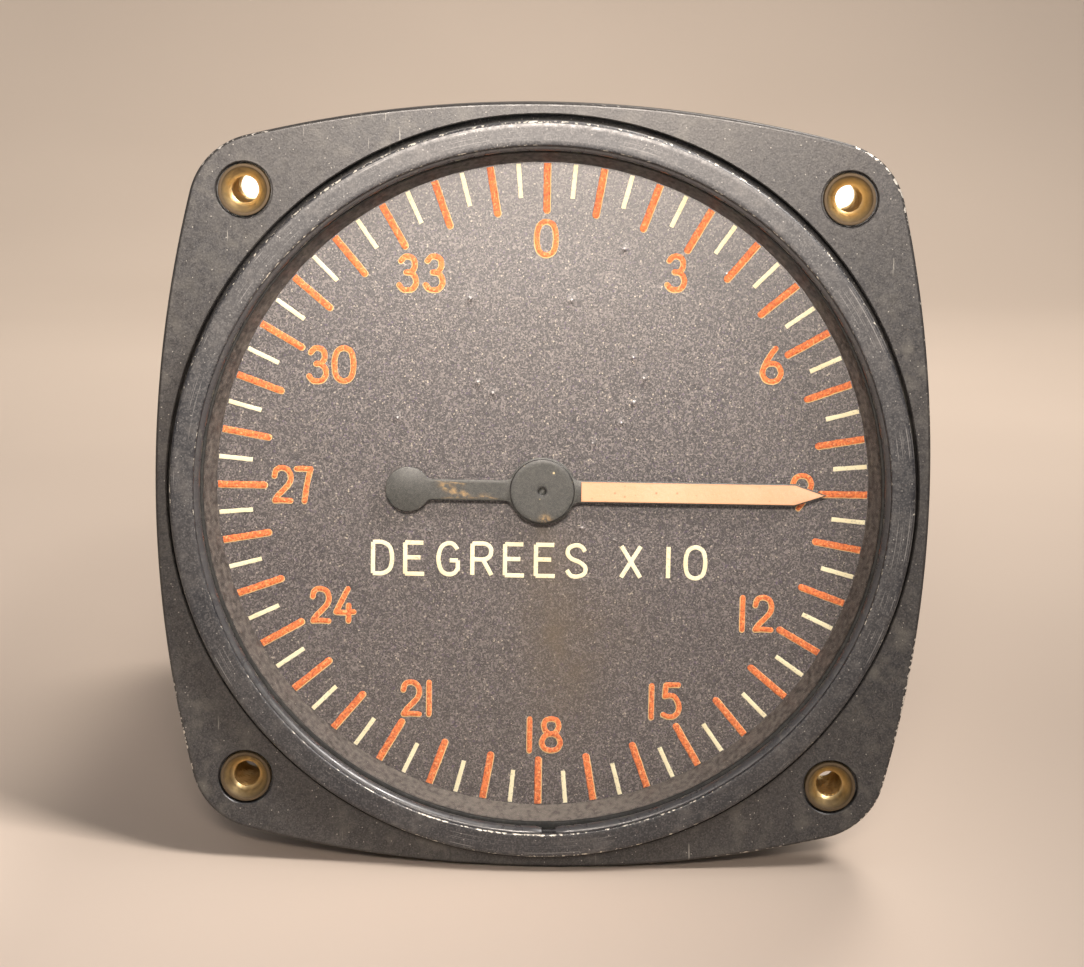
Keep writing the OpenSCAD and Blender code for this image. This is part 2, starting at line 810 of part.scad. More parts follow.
module mounting_plate_screws() {
    color("silver") place() around(plate_screw_circle_r, plate_screw_angles)
        translate([0, 0, bell_z]) rotate([180, 0, 0])
            screw(plate_screw, plate_t + ledge_t - 0.6);
}

// End bell with four ears, its face on z = 0 and its spigot towards -z
module bell_body() {
    bar(housing_r, -bell_t, 0);
    around(0, quarters) {
        translate([tie_circle_r, 0, 0]) bar(ear_r, -bell_t, 0);
        translate([housing_r - 3, -ear_r * 0.85, -bell_t])
            cube([tie_circle_r - housing_r + 3, ear_r * 1.7, bell_t]);
    }
    tube(housing_bore_r - press_gap, housing_bore_r - 2.5, -bell_t - 2, -bell_t + 0.5);
    bar(boss_r, -bearing_lip - bearing_w - 0.03, 0);
}

module bell_holes() {
    around(tie_circle_r, quarters) bar(tie_bolt[0] + screw_gap, -bell_t - cut, cut);
}

module front_end_bell() {
    color("darkgray") place() translate([0, 0, bell_z]) difference() {
        union() {
            bell_body();
            bar(boss_r, 0, plate_t - 0.5);
        }
        bell_holes();
        around(housing_r * 0.6, lug_angles) bar(bell_window_r, -bell_t - cut, cut);
        bar(pocket_r, -bearing_w - bearing_lip - cut, -bearing_lip);
        bar(shaft_hole_r, -bearing_lip - cut, plate_t + cut);
    }
}

module rear_end_bell() {
    color("darkgray") place() translate([0, 0, rear_bell_z - bell_t]) difference() {
        mirror([0, 0, 1]) union() {
            bell_body();
            bar(boss_r, 0, 1.2);
        }
        mirror([0, 0, 1]) bell_holes();
        for (a = [225, 315]) rotate(a) translate([housing_r * 0.6, 0, 0])
            bar(4, -cut, bell_t + cut);
        translate([0, 0, bell_t + bearing_lip - bearing_w - spring_t])
            bar(pocket_r, 0, bearing_w + cut);
        bar(shaft_hole_r, -2 - cut, bell_t + cut);
        for (p = lugs) translate([p[0], p[1], 0]) bar(1.5, -cut, bell_t + cut);
        at_block_screws() bar(brush_screw[0] + screw_gap, -cut, bell_t + cut);
    }
}

module stator_housing() {
    color("silver") place() tube(housing_r, housing_bore_r, rear_bell_z, housing_z);
}

slot_count = 12;
slot_shoulder_r = stator_bore_r + 1.4;
end_turn_gap = 0.3;

// One slot along +x, made smaller all round by a margin
module slot_outline(margin) {
    half = 180 / slot_count;
    inner = slot_shoulder_r + margin;
    outer = slot_bottom_r - margin;
    inner_half = inner * tan(half) - tooth_w / 2 - margin;
    outer_half = outer * tan(half) - tooth_w / 2 - margin;
    polygon([[inner, -inner_half], [outer, -outer_half], [outer, outer_half],
        [inner, inner_half]]);
}

module stator_core() {
    color("#70757a") place() translate([0, 0, stack_end_z])
        linear_extrude(stack_length) difference() {
            circle(r = housing_bore_r - press_gap);
            circle(r = stator_bore_r);
            for (i = [0:slot_count - 1]) rotate(i * 360 / slot_count) {
                slot_outline(0);
                translate([stator_bore_r - 1, -slot_mouth_w / 2])
                    square([slot_shoulder_r - stator_bore_r + 1.1, slot_mouth_w]);
            }
        }
}

// End turns at both faces of the stack, joined by the bars in the slots
module stator_windings() {
    soft = 1.8;
    low = stator_bore_r + 1.2;
    high = slot_bottom_r + 1.5;
    top = end_turn_gap + end_turn_t;
    color("#a5642a") place() {
        for (side = [0, 1]) translate([0, 0, stack_z - side * stack_length])
            mirror([0, 0, side]) rotate_extrude() {
                translate([low, end_turn_gap]) square([high - low, end_turn_t - soft]);
                translate([low + soft, end_turn_gap]) square([high - low - 2 * soft, end_turn_t]);
                for (x = [low + soft, high - soft]) translate([x, top - soft])
                    circle(r = soft, $fn = 48);
            }
        translate([0, 0, stack_end_z - end_turn_gap - 1])
            linear_extrude(stack_length + 2 * end_turn_gap + 2)
                for (i = [0:slot_count - 1]) rotate(i * 360 / slot_count) slot_outline(0.15);
    }
}

// Long bolts that pull the bells and the housing to the plate
module tie_bolts() {
    length = plate_z - board_z - 0.3;
    color("silver") place() around(tie_circle_r, quarters)
        translate([0, 0, board_z]) rotate([180, 0, 0]) screw(tie_bolt, length);
}

// Two blocks on the rear bell, one on each side of the slip rings
module at_blocks() {
    place() for (s = [0, 1]) mirror([s, 0, 0]) translate([0, 0, rear_bell_z]) children();
}

module at_block_screws() {
    for (s = [-1, 1]) translate([s * block_screw_x, block_screw_y, 0]) children();
}

block_length = slip_z[0] - rear_bell_z + slip_w / 2 + 0.4;

module brush_blocks() {
    color("saddlebrown") at_blocks() difference() {
        translate([block_x, block_y, 0]) cube([block_w, block_h, block_length]);
        translate([block_screw_x, block_screw_y, 0]) bar(brush_screw[0] + screw_gap, -cut, 3);
    }
}

// Leaf springs clamped on the blocks, one for each slip ring
module leaf_springs() {
    color("peru") at_blocks() for (z = slip_z)
        translate([leaf_x, -1.4, z - rear_bell_z - slip_w / 2 + 0.1])
            cube([leaf_t, block_y + block_h + 1, slip_w - 0.2]);
}

module brushes() {
    color("#303030") at_blocks() for (z = slip_z)
        translate([slip_r + brush_gap, 0, z - rear_bell_z]) rotate([0, 90, 0])
            cylinder(r = brush_r, h = brush_length);
}

// Screws through the terminal board and the rear bell into the blocks
module brush_screws() {
    color("silver") place() at_block_screws() translate([0, 0, board_z - board_t])
        rotate([180, 0, 0]) screw(brush_screw, board_t + bell_t + 2.6);
}

module terminal_board() {
    outer = terminal_circle_r + 3.5;
    inner = boss_r + 0.6;
    color("#5a3a1c") place() translate([0, 0, board_z - board_t]) linear_extrude(board_t)
        difference() {
            intersection() {
                circle(r = outer);
                translate([-outer, board_edge_y]) square([2 * outer, outer]);
            }
            circle(r = inner);
            for (p = lugs) translate(p) circle(r = rivet_r + press_gap);
            at_block_screws() circle(r = brush_screw[0] + screw_gap);
        }
}

// Rivet through the board with a solder tab standing behind it
module terminal_lugs() {
    color("lightgray") place() for (p = lugs) translate([p[0], p[1], 0]) {
        bar(rivet_r, board_z - board_t - 0.1, board_z + 0.6);
        bar(1.4, board_z - board_t - 0.5, board_z - board_t);
        translate([-tab_w / 2, -tab_t / 2, tab_end_z]) cube([tab_w, tab_t, tab_length - 0.4]);
    }
}

// Short leads inside the motor: three straight ones from the windings to
// the middle rivets, and two with an elbow from the brush blocks to the outer ones
module stator_leads() {
    start_z = board_z + 0.6;
    winding_end = stack_end_z - end_turn_gap - end_turn_t;
    turn_z = rear_bell_z + lead_height;
    outer_x = lugs[4][0];
    color("firebrick") place() {
        for (i = [1:3]) translate([lugs[i][0], lugs[i][1], 0]) bar(wire_r, start_z, winding_end);
        for (s = [0, 1]) mirror([s, 0, 0]) translate([outer_x, lugs[4][1], 0]) {
            bar(wire_r, start_z, turn_z - wire_bend);
            translate([-wire_bend, 0, turn_z - wire_bend]) rotate([90, 0, 0])
                rotate_extrude(angle = 90) translate([wire_bend, 0]) circle(r = wire_r, $fn = 24);
            translate([block_x + block_w - outer_x, 0, turn_z]) rotate([0, 90, 0])
                cylinder(r = wire_r, h = outer_x - wire_bend - block_x - block_w);
        }
    }
}

// Axial run, elbow, run across, elbow and axial run from a lug to its pin
module connector_lead(i) {
    from = lugs[i];
    to = pin_circle_r * [cos(lug_pin_angles[i]), sin(lug_pin_angles[i])];
    across = norm(to - from);
    turn_z = tab_end_z - 1.2 - wire_bend - lug_levels[i] * level_step;
    translate([from[0], from[1], 0]) rotate(atan2(to[1] - from[1], to[0] - from[0])) {
        bar(wire_r, turn_z + wire_bend, tab_end_z);
        translate([wire_bend, 0, turn_z + wire_bend]) rotate([90, 0, 0]) rotate(180)
            rotate_extrude(angle = 90) translate([wire_bend, 0]) circle(r = wire_r, $fn = 24);
        translate([wire_bend, 0, turn_z]) rotate([0, 90, 0])
            cylinder(r = wire_r, h = across - 2 * wire_bend);
        translate([across - wire_bend, 0, turn_z - wire_bend]) rotate([90, 0, 0])
            rotate_extrude(angle = 90) translate([wire_bend, 0]) circle(r = wire_r, $fn = 24);
        translate([across, 0, 0]) bar(wire_r, cup_z - cup_depth + 1, turn_z - wire_bend);
    }
}

module connector_leads() {
    color("firebrick") place() for (i = [0:len(lugs) - 1]) connector_lead(i);
}

module back_gasket() {
    color("black") place() difference() {
        tube(case_back_r, lug_circle_r - lug_r, cover_z, back_z);
        around(lug_circle_r, lug_angles) bar(cover_screw[0] + screw_gap, cover_z - cut, back_z + cut);
    }
}

module rec_screw_places() {
    for (x = [-1, 1], y = [-1, 1]) translate([x * rec_spacing / 2, y * rec_spacing / 2, 0])
        children();
}

module back_cover() {
    edge = 0.8;
    color("dimgray") place() difference() {
        union() {
            bar(case_back_r, rec_gasket_z + edge, cover_z);
            bar(case_back_r - edge, rec_gasket_z, cover_z);
            translate([0, 0, rec_gasket_z + edge]) rotate_extrude()
                translate([case_back_r - edge, 0]) circle(r = edge, $fn = 48);
        }
        bar(cover_hole_r, rec_gasket_z - cut, cover_z + cut);
        around(lug_circle_r, lug_angles)
            bar(cover_screw[0] + screw_gap, rec_gasket_z - cut, cover_z + cut);
        rec_screw_places() bar(rec_screw[0] + screw_gap, rec_gasket_z - cut, cover_z + cut);
    }
}

module back_cover_screws() {
    color("silver") place() around(lug_circle_r, lug_angles)
        translate([0, 0, rec_gasket_z]) rotate([180, 0, 0])
            screw(cover_screw, cover_t + back_gasket_t + lug_length - 4);
}

module rec_outline() {
    rounded_square(rec_flange, rec_corner_r);
}

module receptacle_gasket() {
    color("black") place() difference() {
        translate([0, 0, rec_z]) linear_extrude(back_gasket_t) rec_outline();
        bar(cover_hole_r, rec_z - cut, rec_gasket_z + cut);
        rec_screw_places() bar(rec_screw[0] + screw_gap, rec_z - cut, rec_gasket_z + cut);
    }
}

// Square flange with a threaded shell outside and a barrel inside the case
module receptacle_shell() {
    inner_end = insert_back_z + 0.3;
    color("darkgray") place() {
        difference() {
            union() {
                translate([0, 0, rec_z - rec_flange_t]) linear_extrude(rec_flange_t) rec_outline();
                bar(shell_r, shell_end_z, rec_z - rec_flange_t / 2);
                bar(cover_hole_r - 0.2, rec_z - 0.5, inner_end);
            }
            bar(shell_bore_r, shell_end_z - cut, contact_face_z + insert_step);
            bar(insert_body_r, contact_face_z, inner_end + cut);
            rec_screw_places() bar(rec_screw[0] + screw_gap, rec_z - rec_flange_t - cut, rec_z + cut);
        }
        translate([-0.9, shell_bore_r - 1, shell_end_z + 0.5])
            cube([1.8, 1.3, contact_face_z - shell_end_z - 0.7]);
    }
}

module at_pins() {
    for (a = lug_pin_angles) rotate(a) translate([pin_circle_r, 0, 0]) children();
}

module receptacle_insert() {
    color("#202428") place() difference() {
        union() {
            bar(insert_body_r - press_gap, contact_face_z, insert_back_z);
            bar(shell_bore_r - press_gap, contact_face_z, contact_face_z + insert_step - press_gap);
        }
        at_pins() bar(pin_body_r + press_gap, contact_face_z + insert_step, cup_z);
        at_pins() bar(pin_r + press_gap, contact_face_z - cut, contact_face_z + insert_step + cut);
    }
}

// Pins with round ends outside and solder cups inside the case
module contact_pins() {
    color("gold") place() at_pins() difference() {
        union() {
            bar(pin_body_r, contact_face_z + insert_step + seat_gap, cup_z);
            bar(pin_r, pin_end_z + pin_r, contact_face_z + insert_step + cut);
            translate([0, 0, pin_end_z + pin_r]) sphere(r = pin_r, $fn = 48);
        }
        bar(wire_r + 0.1, cup_z - cup_depth, cup_z + cut);
    }
}

module receptacle_screws() {
    color("silver") place() rec_screw_places() translate([0, 0, rec_z - rec_flange_t])
        rotate([180, 0, 0]) screw(rec_screw, rec_flange_t + back_gasket_t + cover_t - 0.3);
}

case();
mounting_inserts();
bezel_ring();
glass_retainer();
glass_gasket();
cover_glass();
dial_spacer();
dial_plate();
dial_key();
major_graduations();
minor_graduations();
pointer();
pointer_paint();
pointer_hub();
rotor_shaft();
rotor_core();
rotor_windings();
slip_ring_insulator();
slip_rings();
front_inner_ring();
front_balls();
front_cage();
front_outer_ring();
rear_inner_ring();
rear_balls();
rear_cage();
rear_outer_ring();
preload_spring();
shaft_rings();
mounting_plate();
mounting_plate_screws();
front_end_bell();
stator_housing();
stator_core();
stator_windings();
rear_end_bell();
tie_bolts();
brush_blocks();
leaf_springs();
brushes();
brush_screws();
terminal_board();
terminal_lugs();
stator_leads();
connector_leads();
back_gasket();
back_cover();
back_cover_screws();
receptacle_gasket();
receptacle_shell();
receptacle_insert();
contact_pins();
receptacle_screws();
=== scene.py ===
# %% [markdown]
# # Dressing a radio compass indicator
# The object is an old aircraft instrument: a square flange, a round dial under glass and a pointer that a
# small synchro motor turns. Its solids come from CAD, already in their true places and riding on their
# bodies. This lesson keeps the solids that look right, gives them real finishes, and builds finer pieces for
# what the eye rests on: worn paint on the flange, a thick-painted scale, brass inserts with threads.

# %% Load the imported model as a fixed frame
import json
import math
import random

import bmesh
import bpy
import numpy
from mathutils import Matrix, Vector, noise
from mathutils.geometry import delaunay_2d_cdt


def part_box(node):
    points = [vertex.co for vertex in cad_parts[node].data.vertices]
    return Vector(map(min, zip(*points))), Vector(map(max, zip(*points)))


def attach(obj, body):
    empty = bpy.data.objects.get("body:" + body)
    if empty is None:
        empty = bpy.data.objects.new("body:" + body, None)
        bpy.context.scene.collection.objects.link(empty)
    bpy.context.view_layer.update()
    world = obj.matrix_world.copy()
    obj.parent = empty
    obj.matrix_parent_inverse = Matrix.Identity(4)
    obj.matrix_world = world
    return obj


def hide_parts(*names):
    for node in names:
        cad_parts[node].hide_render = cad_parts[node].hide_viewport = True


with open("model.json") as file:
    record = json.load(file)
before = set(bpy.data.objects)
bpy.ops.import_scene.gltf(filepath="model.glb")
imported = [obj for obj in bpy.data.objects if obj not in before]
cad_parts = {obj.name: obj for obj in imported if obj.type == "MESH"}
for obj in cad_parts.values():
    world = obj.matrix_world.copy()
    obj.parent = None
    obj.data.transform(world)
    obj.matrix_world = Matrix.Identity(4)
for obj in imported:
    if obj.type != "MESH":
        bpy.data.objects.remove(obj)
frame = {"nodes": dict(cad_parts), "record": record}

for stray in ("Cube", "Light", "Camera"):
    if stray in bpy.data.objects:
        bpy.data.objects.remove(bpy.data.objects[stray])
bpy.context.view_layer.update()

# %% [markdown]
# ## Which way is up
# On the bench an instrument maker measures from the dial: x to the right, y up, z out of the flange's front
# face towards the viewer, in millimetres. Blender's room has z up and metres. One matrix turns the first into
# the second, so every piece below can be drawn in the maker's own axes.

# %% The maker's axes, and sizes read from the frame
MM = 0.001
TO_ROOM = Matrix(((MM, 0, 0, 0), (0, 0, -MM, 0), (0, MM, 0, 0), (0, 0, 0, 1)))
solid_boxes = {node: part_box(node) for node in frame["nodes"]}


def front_of(node):
    """Height of a solid's front over the flange face, in mm."""
    return -solid_boxes[node][0].y / MM


def back_of(node):
    """Height of a solid's back over the flange face, in mm, so mostly below zero."""
    return -solid_boxes[node][1].y / MM


def half_width(node):
    """Half the width of a solid, in mm."""
    return solid_boxes[node][1].x / MM


flange_half = half_width("case")
bezel_r = half_width("bezel_ring")
dial_z = front_of("dial_plate")
print(f"flange {2 * flange_half:.1f} mm wide, bezel {2 * bezel_r:.1f} mm across, dial at {dial_z:.2f} mm")

# %% [markdown]
# ## Camera
# The photograph looks slightly down on the dial from close by. A long lens at that distance keeps the ring
# round. The camera is aimed at a point near the dial's middle, then rolled by less than a degree.

# %% Camera
view_from = Vector((0.00221, -0.27410, 0.04598))
view_to = Vector((-0.00002, 0.0, 0.00110))
view_roll = math.radians(0.89)


def aim(thing, place, target, roll=0.0):
    """Puts a camera or a lamp at a place and turns it to a target."""
    gaze = (target - place).normalized()
    side = gaze.cross(Vector((0, 0, 1))).normalized()
    up = side.cross(gaze)
    right = math.cos(roll) * side + math.sin(roll) * up
    above = right.cross(gaze)
    turn = Matrix((right, above, -gaze)).transposed()
    thing.matrix_world = Matrix.Translation(place) @ turn.to_4x4()


camera = bpy.data.objects.new("camera", bpy.data.cameras.new("camera"))
bpy.context.scene.collection.objects.link(camera)
camera.data.lens = 87.47
camera.data.sensor_width = 36
camera.data.sensor_fit = "HORIZONTAL"
aim(camera, view_from, view_to, view_roll)
bpy.context.scene.camera = camera
print("camera", round((view_to - view_from).length, 3), "m from the dial")

# %% [markdown]
# ## A finish is a small recipe
# A painted or metal surface is never one colour. Blender's shader nodes can mix noise, spots and the piece's
# own wear marks into one material. The class below has one short method for each kind of node, and a few for
# layers that recur, so that each recipe further down reads like a list of what a restorer would see.

# %% Short names for shader nodes
EDGE_GAP = "edge_gap"
RUB_AND_HIGHLIGHT = "rub"
STAIN_AND_PAINTED_LIGHT = "stain"
PAINTED_HIGHLIGHT = "shine"


class Finish:
    """A material, with one short method for each kind of node or layer that the recipes use."""

    def __init__(self, name, color, roughness, metallic=0.0, **more):
        self.material = bpy.data.materials.new(name)
        self.material.use_nodes = True
        self.material.diffuse_color = (*color, 1)
        self.tree = self.material.node_tree
        self.shader = self.tree.nodes["Principled BSDF"]
        self.set("Base Color", (*color, 1))
        self.set("Roughness", roughness)
        self.set("Metallic", metallic)
        for key, value in more.items():
            self.set(key.replace("_", " "), value)
        self.place = self.tree.nodes.new("ShaderNodeTexCoord").outputs["Object"]

    def feed(self, value, target):
        """Links a socket to another one, or sets it to a plain value."""
        if isinstance(value, bpy.types.NodeSocket):
            self.tree.links.new(value, target)
        else:
            target.default_value = value

    def set(self, socket, value):
        self.feed(value, self.shader.inputs[socket])

    def node(self, kind, inputs, **settings):
        """A new node with its settings made and its inputs fed."""
        node = self.tree.nodes.new("ShaderNode" + kind)
        for key, value in settings.items():
            setattr(node, key, value)
        for socket, value in inputs.items():
            self.feed(value, node.inputs[socket])
        return node

    def stretched(self, x, y, z):
        """The piece's own coordinates, stretched for brushed or run marks."""
        return self.node("Mapping", {"Scale": (x, y, z), "Vector": self.place}).outputs["Vector"]

    def grain(self, size_mm, detail=2.0, place=None):
        """Cloudy noise whose blobs are about as wide as size_mm."""
        inputs = {"Scale": 0.6 / (size_mm * MM), "Detail": detail, "Vector": place or self.place}
        return self.node("TexNoise", inputs).outputs["Fac"]

    def specks(self, pitch_mm, place=None):
        """Distance to the nearest of many scattered points, 0 at a point, and a random shade for each."""
        node = self.node("TexVoronoi", {"Scale": 1 / (pitch_mm * MM), "Vector": place or self.place})
        return node.outputs["Distance"], node.outputs["Color"]

    def turning(self, pitch_mm):
        """Rings round the y axis, as a lathe tool or a cloth leaves them, about pitch_mm apart."""
        reach = self.node("VectorMath", {0: self.stretched(1, 0, 1)}, operation="LENGTH").outputs["Value"]
        inputs = {"Scale": 0.6 / (pitch_mm * MM), "W": reach}
        return self.node("TexNoise", inputs, noise_dimensions="1D").outputs["Fac"]

    def mark(self, name):
        """A number that the mesh carries at each of its points."""
        return self.node("Attribute", {}, attribute_name=name).outputs["Fac"]

    def sum(self, kind, a, b=0.5):
        """One step of arithmetic, such as ADD or MULTIPLY, held between 0 and 1."""
        return self.node("Math", {0: a, 1: b}, operation=kind, use_clamp=True).outputs[0]

    def between(self, value, low, high, out_low=0.0, out_high=1.0):
        """Spreads the stretch from low to high over a new range, and holds what lies outside."""
        inputs = dict(enumerate((value, low, high, out_low, out_high)))
        return self.node("MapRange", inputs).outputs["Result"]

    def blend(self, share, a, b):
        """Colour a where share is 0, colour b where it is 1."""
        a, b = (c if isinstance(c, bpy.types.NodeSocket) else (*c, 1) for c in (a, b))
        return self.node("Mix", {0: share, 6: a, 7: b}, data_type="RGBA").outputs[2]

    def tint(self, tone, value, low, high, most, color):
        """Lays a colour over a tone as a value runs from low to high, with most as its greatest share."""
        return self.blend(self.between(value, low, high, 0, most), tone, color)

    def flecks(self, tone, pitch_mm, rim, shades, most, color):
        """Lays round flecks over a tone, at those scattered points whose random shade is high."""
        away, shade = self.specks(pitch_mm)
        fleck = self.sum("MULTIPLY", self.between(away, *rim, 1, 0), self.between(shade, *shades))
        return self.blend(self.sum("MULTIPLY", fleck, most), tone, color)

    def rough(self, value, low, high, start=0.3, end=0.7):
        """Roughness from low to high as a value runs from start to end."""
        self.set("Roughness", self.between(value, start, end, low, high))

    def relief(self, height, depth_mm):
        """Raises the surface by up to depth_mm where height is 1."""
        bump = self.node("Bump", {"Strength": 1.0, "Distance": depth_mm * MM, "Height": height})
        self.set("Normal", bump.outputs["Normal"])

    def worn(self, reach_mm, ragged_mm=0.35):
        """1 where paint is rubbed off: a ragged line along an edge, wider where the rub mark is larger; on the
        bezel's top this width is also a painted highlight.
        """
        ragged = self.between(self.grain(ragged_mm, 3.0), 0.36, 0.64, 0.0, reach_mm)
        reach = self.sum("MULTIPLY", ragged, self.mark(RUB_AND_HIGHLIGHT))
        return self.between(self.sum("SUBTRACT", reach, self.mark(EDGE_GAP)), 0.0, 0.06)


print("finishes are mixed from", len([n for n in dir(Finish) if not n.startswith("_")]), "kinds of step")

# %% [markdown]
# ## The flange and case: grey paint on a casting
# The casting wears a dark grey satin paint. Close up it is a salt and pepper of pale and black grains, which
# one random shade for each cell of a fine mesh of points gives better than cloudy noise. It has white flecks,
# and along the outer edge it is rubbed down to bright metal. The bright line comes from a distance that each
# mesh point carries, broken up by noise, so it stays on the edge in any view.

# %% Case paint
def mix_case_paint():
    f = Finish("case_paint", (0.048, 0.046, 0.044), 0.4, Specular_IOR_Level=0.54)
    paint = f.tint((0.020, 0.020, 0.023), f.grain(9, 4), 0.35, 0.65, 1, (0.031, 0.028, 0.028))
    _, shade = f.specks(0.14)
    paint = f.tint(paint, shade, 0.45, 1.0, 0.55, (0.115, 0.108, 0.100))
    paint = f.tint(paint, shade, 0.40, 0.0, 0.8, (0.006, 0.006, 0.007))
    paint = f.tint(paint, f.grain(0.45, 5), 0.36, 0.66, 0.35, (0.064, 0.060, 0.054))
    handled = f.between(f.grain(12, 2), 0.42, 0.58)
    smudge = f.sum("MULTIPLY", f.between(f.grain(1.5, 6), 0.50, 0.68, 0, 0.38), handled)
    paint = f.blend(smudge, paint, (0.150, 0.140, 0.120))
    paint = f.flecks(paint, 0.62, (0.06, 0.13), (0.60, 0.68), 0.6, (0.50, 0.47, 0.41))
    streak = f.between(f.grain(0.25, 2, f.stretched(1, 1, 0.06)), 0.69, 0.72, 0, 0.5)
    scratch = f.sum("MULTIPLY", streak, f.between(f.grain(6, 1), 0.52, 0.6))
    paint = f.blend(scratch, paint, (0.40, 0.38, 0.33))
    # Painted shade: a dark band along every rim, within a third of a millimetre of the edge, stands in for the
    # shade on the rounded edges.
    paint = f.tint(paint, f.mark(EDGE_GAP), 0.34, 0.10, 0.75, (0.014, 0.012, 0.010))
    bare = f.worn(0.30, 0.28)
    f.set("Base Color", f.blend(bare, paint, (0.60, 0.56, 0.50)))
    f.set("Metallic", f.sum("MULTIPLY", bare, 0.55))
    f.rough(f.grain(0.5, 3), 0.30, 0.44)
    f.relief(f.sum("SUBTRACT", f.grain(0.16, 3), f.sum("MULTIPLY", bare, 0.4)), 0.010)
    return f.material


case_paint = mix_case_paint()
print("mixed", case_paint.name)

# %% [markdown]
# ## The bezel ring: black enamel
# The ring that carries the glass was turned and enamelled black. It is smoother than the case, with scratches
# round it where a spanner and a cloth went: a noise that reads only the distance from the middle draws them.
# Its two front edges are rubbed, the outer one in a line and the inner one in bright dots.
# The outer line is widest at the top, which is a painted highlight more than wear.

# %% Bezel enamel, and the retaining ring's black
def mix_bezel_black():
    f = Finish("bezel_enamel", (0.030, 0.030, 0.033), 0.38, Specular_IOR_Level=0.78)
    enamel = f.tint((0.008, 0.009, 0.013), f.grain(5, 4), 0.35, 0.65, 1, (0.021, 0.020, 0.022))
    _, shade = f.specks(0.14)
    enamel = f.tint(enamel, shade, 0.5, 1.0, 0.55, (0.13, 0.125, 0.12))
    enamel = f.tint(enamel, shade, 0.40, 0.0, 0.8, (0.004, 0.004, 0.006))
    wiped = f.between(f.grain(3.5, 2), 0.52, 0.6)
    ring = f.sum("MULTIPLY", f.between(f.turning(0.10), 0.60, 0.66, 0, 0.5), wiped)
    enamel = f.blend(ring, enamel, (0.26, 0.25, 0.24))
    enamel = f.tint(enamel, f.grain(1.1, 6), 0.54, 0.70, 0.32, (0.115, 0.107, 0.100))
    enamel = f.flecks(enamel, 0.6, (0.06, 0.13), (0.6, 0.68), 0.6, (0.50, 0.48, 0.44))
    # Bare metal along the rubbed edges; where it widens at the top of the outer edge it is a painted
    # highlight.
    bare = f.worn(0.23, 0.25)
    f.set("Base Color", f.blend(bare, enamel, (0.66, 0.62, 0.53)))
    f.set("Metallic", f.sum("MULTIPLY", bare, 0.4))
    f.rough(f.grain(0.35, 4), 0.34, 0.50)
    f.relief(f.sum("SUBTRACT", f.grain(0.22, 4), f.sum("MULTIPLY", bare, 0.3)), 0.010)
    return f.material


def mix_retainer_black():
    f = Finish("retainer_black", (0.014, 0.013, 0.015), 0.22, Specular_IOR_Level=0.75)
    fine = f.grain(0.3, 4)
    f.set("Base Color", f.tint((0.045, 0.043, 0.045), fine, 0.55, 0.75, 0.4, (0.14, 0.135, 0.115)))
    f.rough(f.grain(0.8, 3), 0.24, 0.42, 0.35)
    f.relief(fine, 0.008)
    return f.material


bezel_black = mix_bezel_black()
retainer_black = mix_retainer_black()
print("mixed", bezel_black.name, "and", retainer_black.name)

# %% [markdown]
# ## Inside the window: spacer, dial and paints
# The spacer between glass and dial is brown-black and gritty, and its lowest part is made lighter as painted
# light. The dial is a warm dark grey with a fine glitter: thousands of tiny grains, some purple, some gold,
# and a brown stain that ran down from the shaft. The scale is thick luminous paint, rough as sand; the short
# marks and the legend are flat cream.

# %% Spacer, gasket and dial
def mix_spacer_brown():
    f = Finish("spacer_paint", (0.040, 0.031, 0.026), 0.7)
    fine = f.grain(0.35, 5)
    tone = f.tint((0.034, 0.027, 0.024), fine, 0.35, 0.7, 1, (0.125, 0.105, 0.092))
    # Painted light: a lighter tone on the lowest part of the wall, where light from above falls.
    lit_bottom = f.sum("MULTIPLY", f.mark(STAIN_AND_PAINTED_LIGHT), f.between(fine, 0.3, 0.6, 0.3, 1))
    tone = f.blend(lit_bottom, tone, (0.145, 0.125, 0.108))
    f.set("Base Color", f.flecks(tone, 0.5, (0.08, 0.16), (0.55, 0.65), 0.5, (0.34, 0.30, 0.26)))
    f.rough(f.grain(2, 2), 0.55, 0.8)
    f.relief(fine, 0.08)
    return f.material


def mix_rubber():
    f = Finish("gasket_rubber", (0.020, 0.019, 0.018), 0.75)
    fine = f.grain(0.25, 4)
    f.set("Base Color", f.tint((0.012, 0.012, 0.011), fine, 0.45, 0.75, 0.6, (0.045, 0.042, 0.036)))
    f.rough(f.grain(1.2, 3), 0.6, 0.85)
    f.relief(fine, 0.03)
    return f.material


def mix_dial_grey():
    f = Finish("dial_grey", (0.060, 0.054, 0.053), 0.42, Specular_IOR_Level=0.95)
    paint = f.tint((0.047, 0.040, 0.042), f.grain(16, 3), 0.3, 0.7, 1, (0.060, 0.051, 0.049))
    _, shade = f.specks(0.15)
    paint = f.tint(paint, shade, 0.50, 1.0, 1.0, (0.235, 0.203, 0.190))
    paint = f.tint(paint, shade, 0.50, 0.1, 0.95, (0.006, 0.005, 0.006))
    _, shade = f.specks(0.18, f.stretched(1.1, 0.9, 1.1))
    paint = f.tint(paint, shade, 0.88, 0.93, 0.8, (0.46, 0.40, 0.32))
    paint = f.tint(paint, shade, 0.16, 0.08, 0.7, (0.055, 0.028, 0.085))
    stain = f.sum("MULTIPLY", f.mark(STAIN_AND_PAINTED_LIGHT), f.between(f.grain(1.4, 4), 0.25, 0.7, 0.35, 1.0))
    f.set("Base Color", f.blend(stain, paint, (0.082, 0.058, 0.033)))
    f.rough(f.grain(0.13, 2), 0.29, 0.40, 0.35, 0.65)
    f.relief(f.grain(0.16, 3), 0.003)
    return f.material


spacer_brown = mix_spacer_brown()
gasket_rubber = mix_rubber()
dial_grey = mix_dial_grey()
print("mixed", spacer_brown.name, gasket_rubber.name, dial_grey.name)

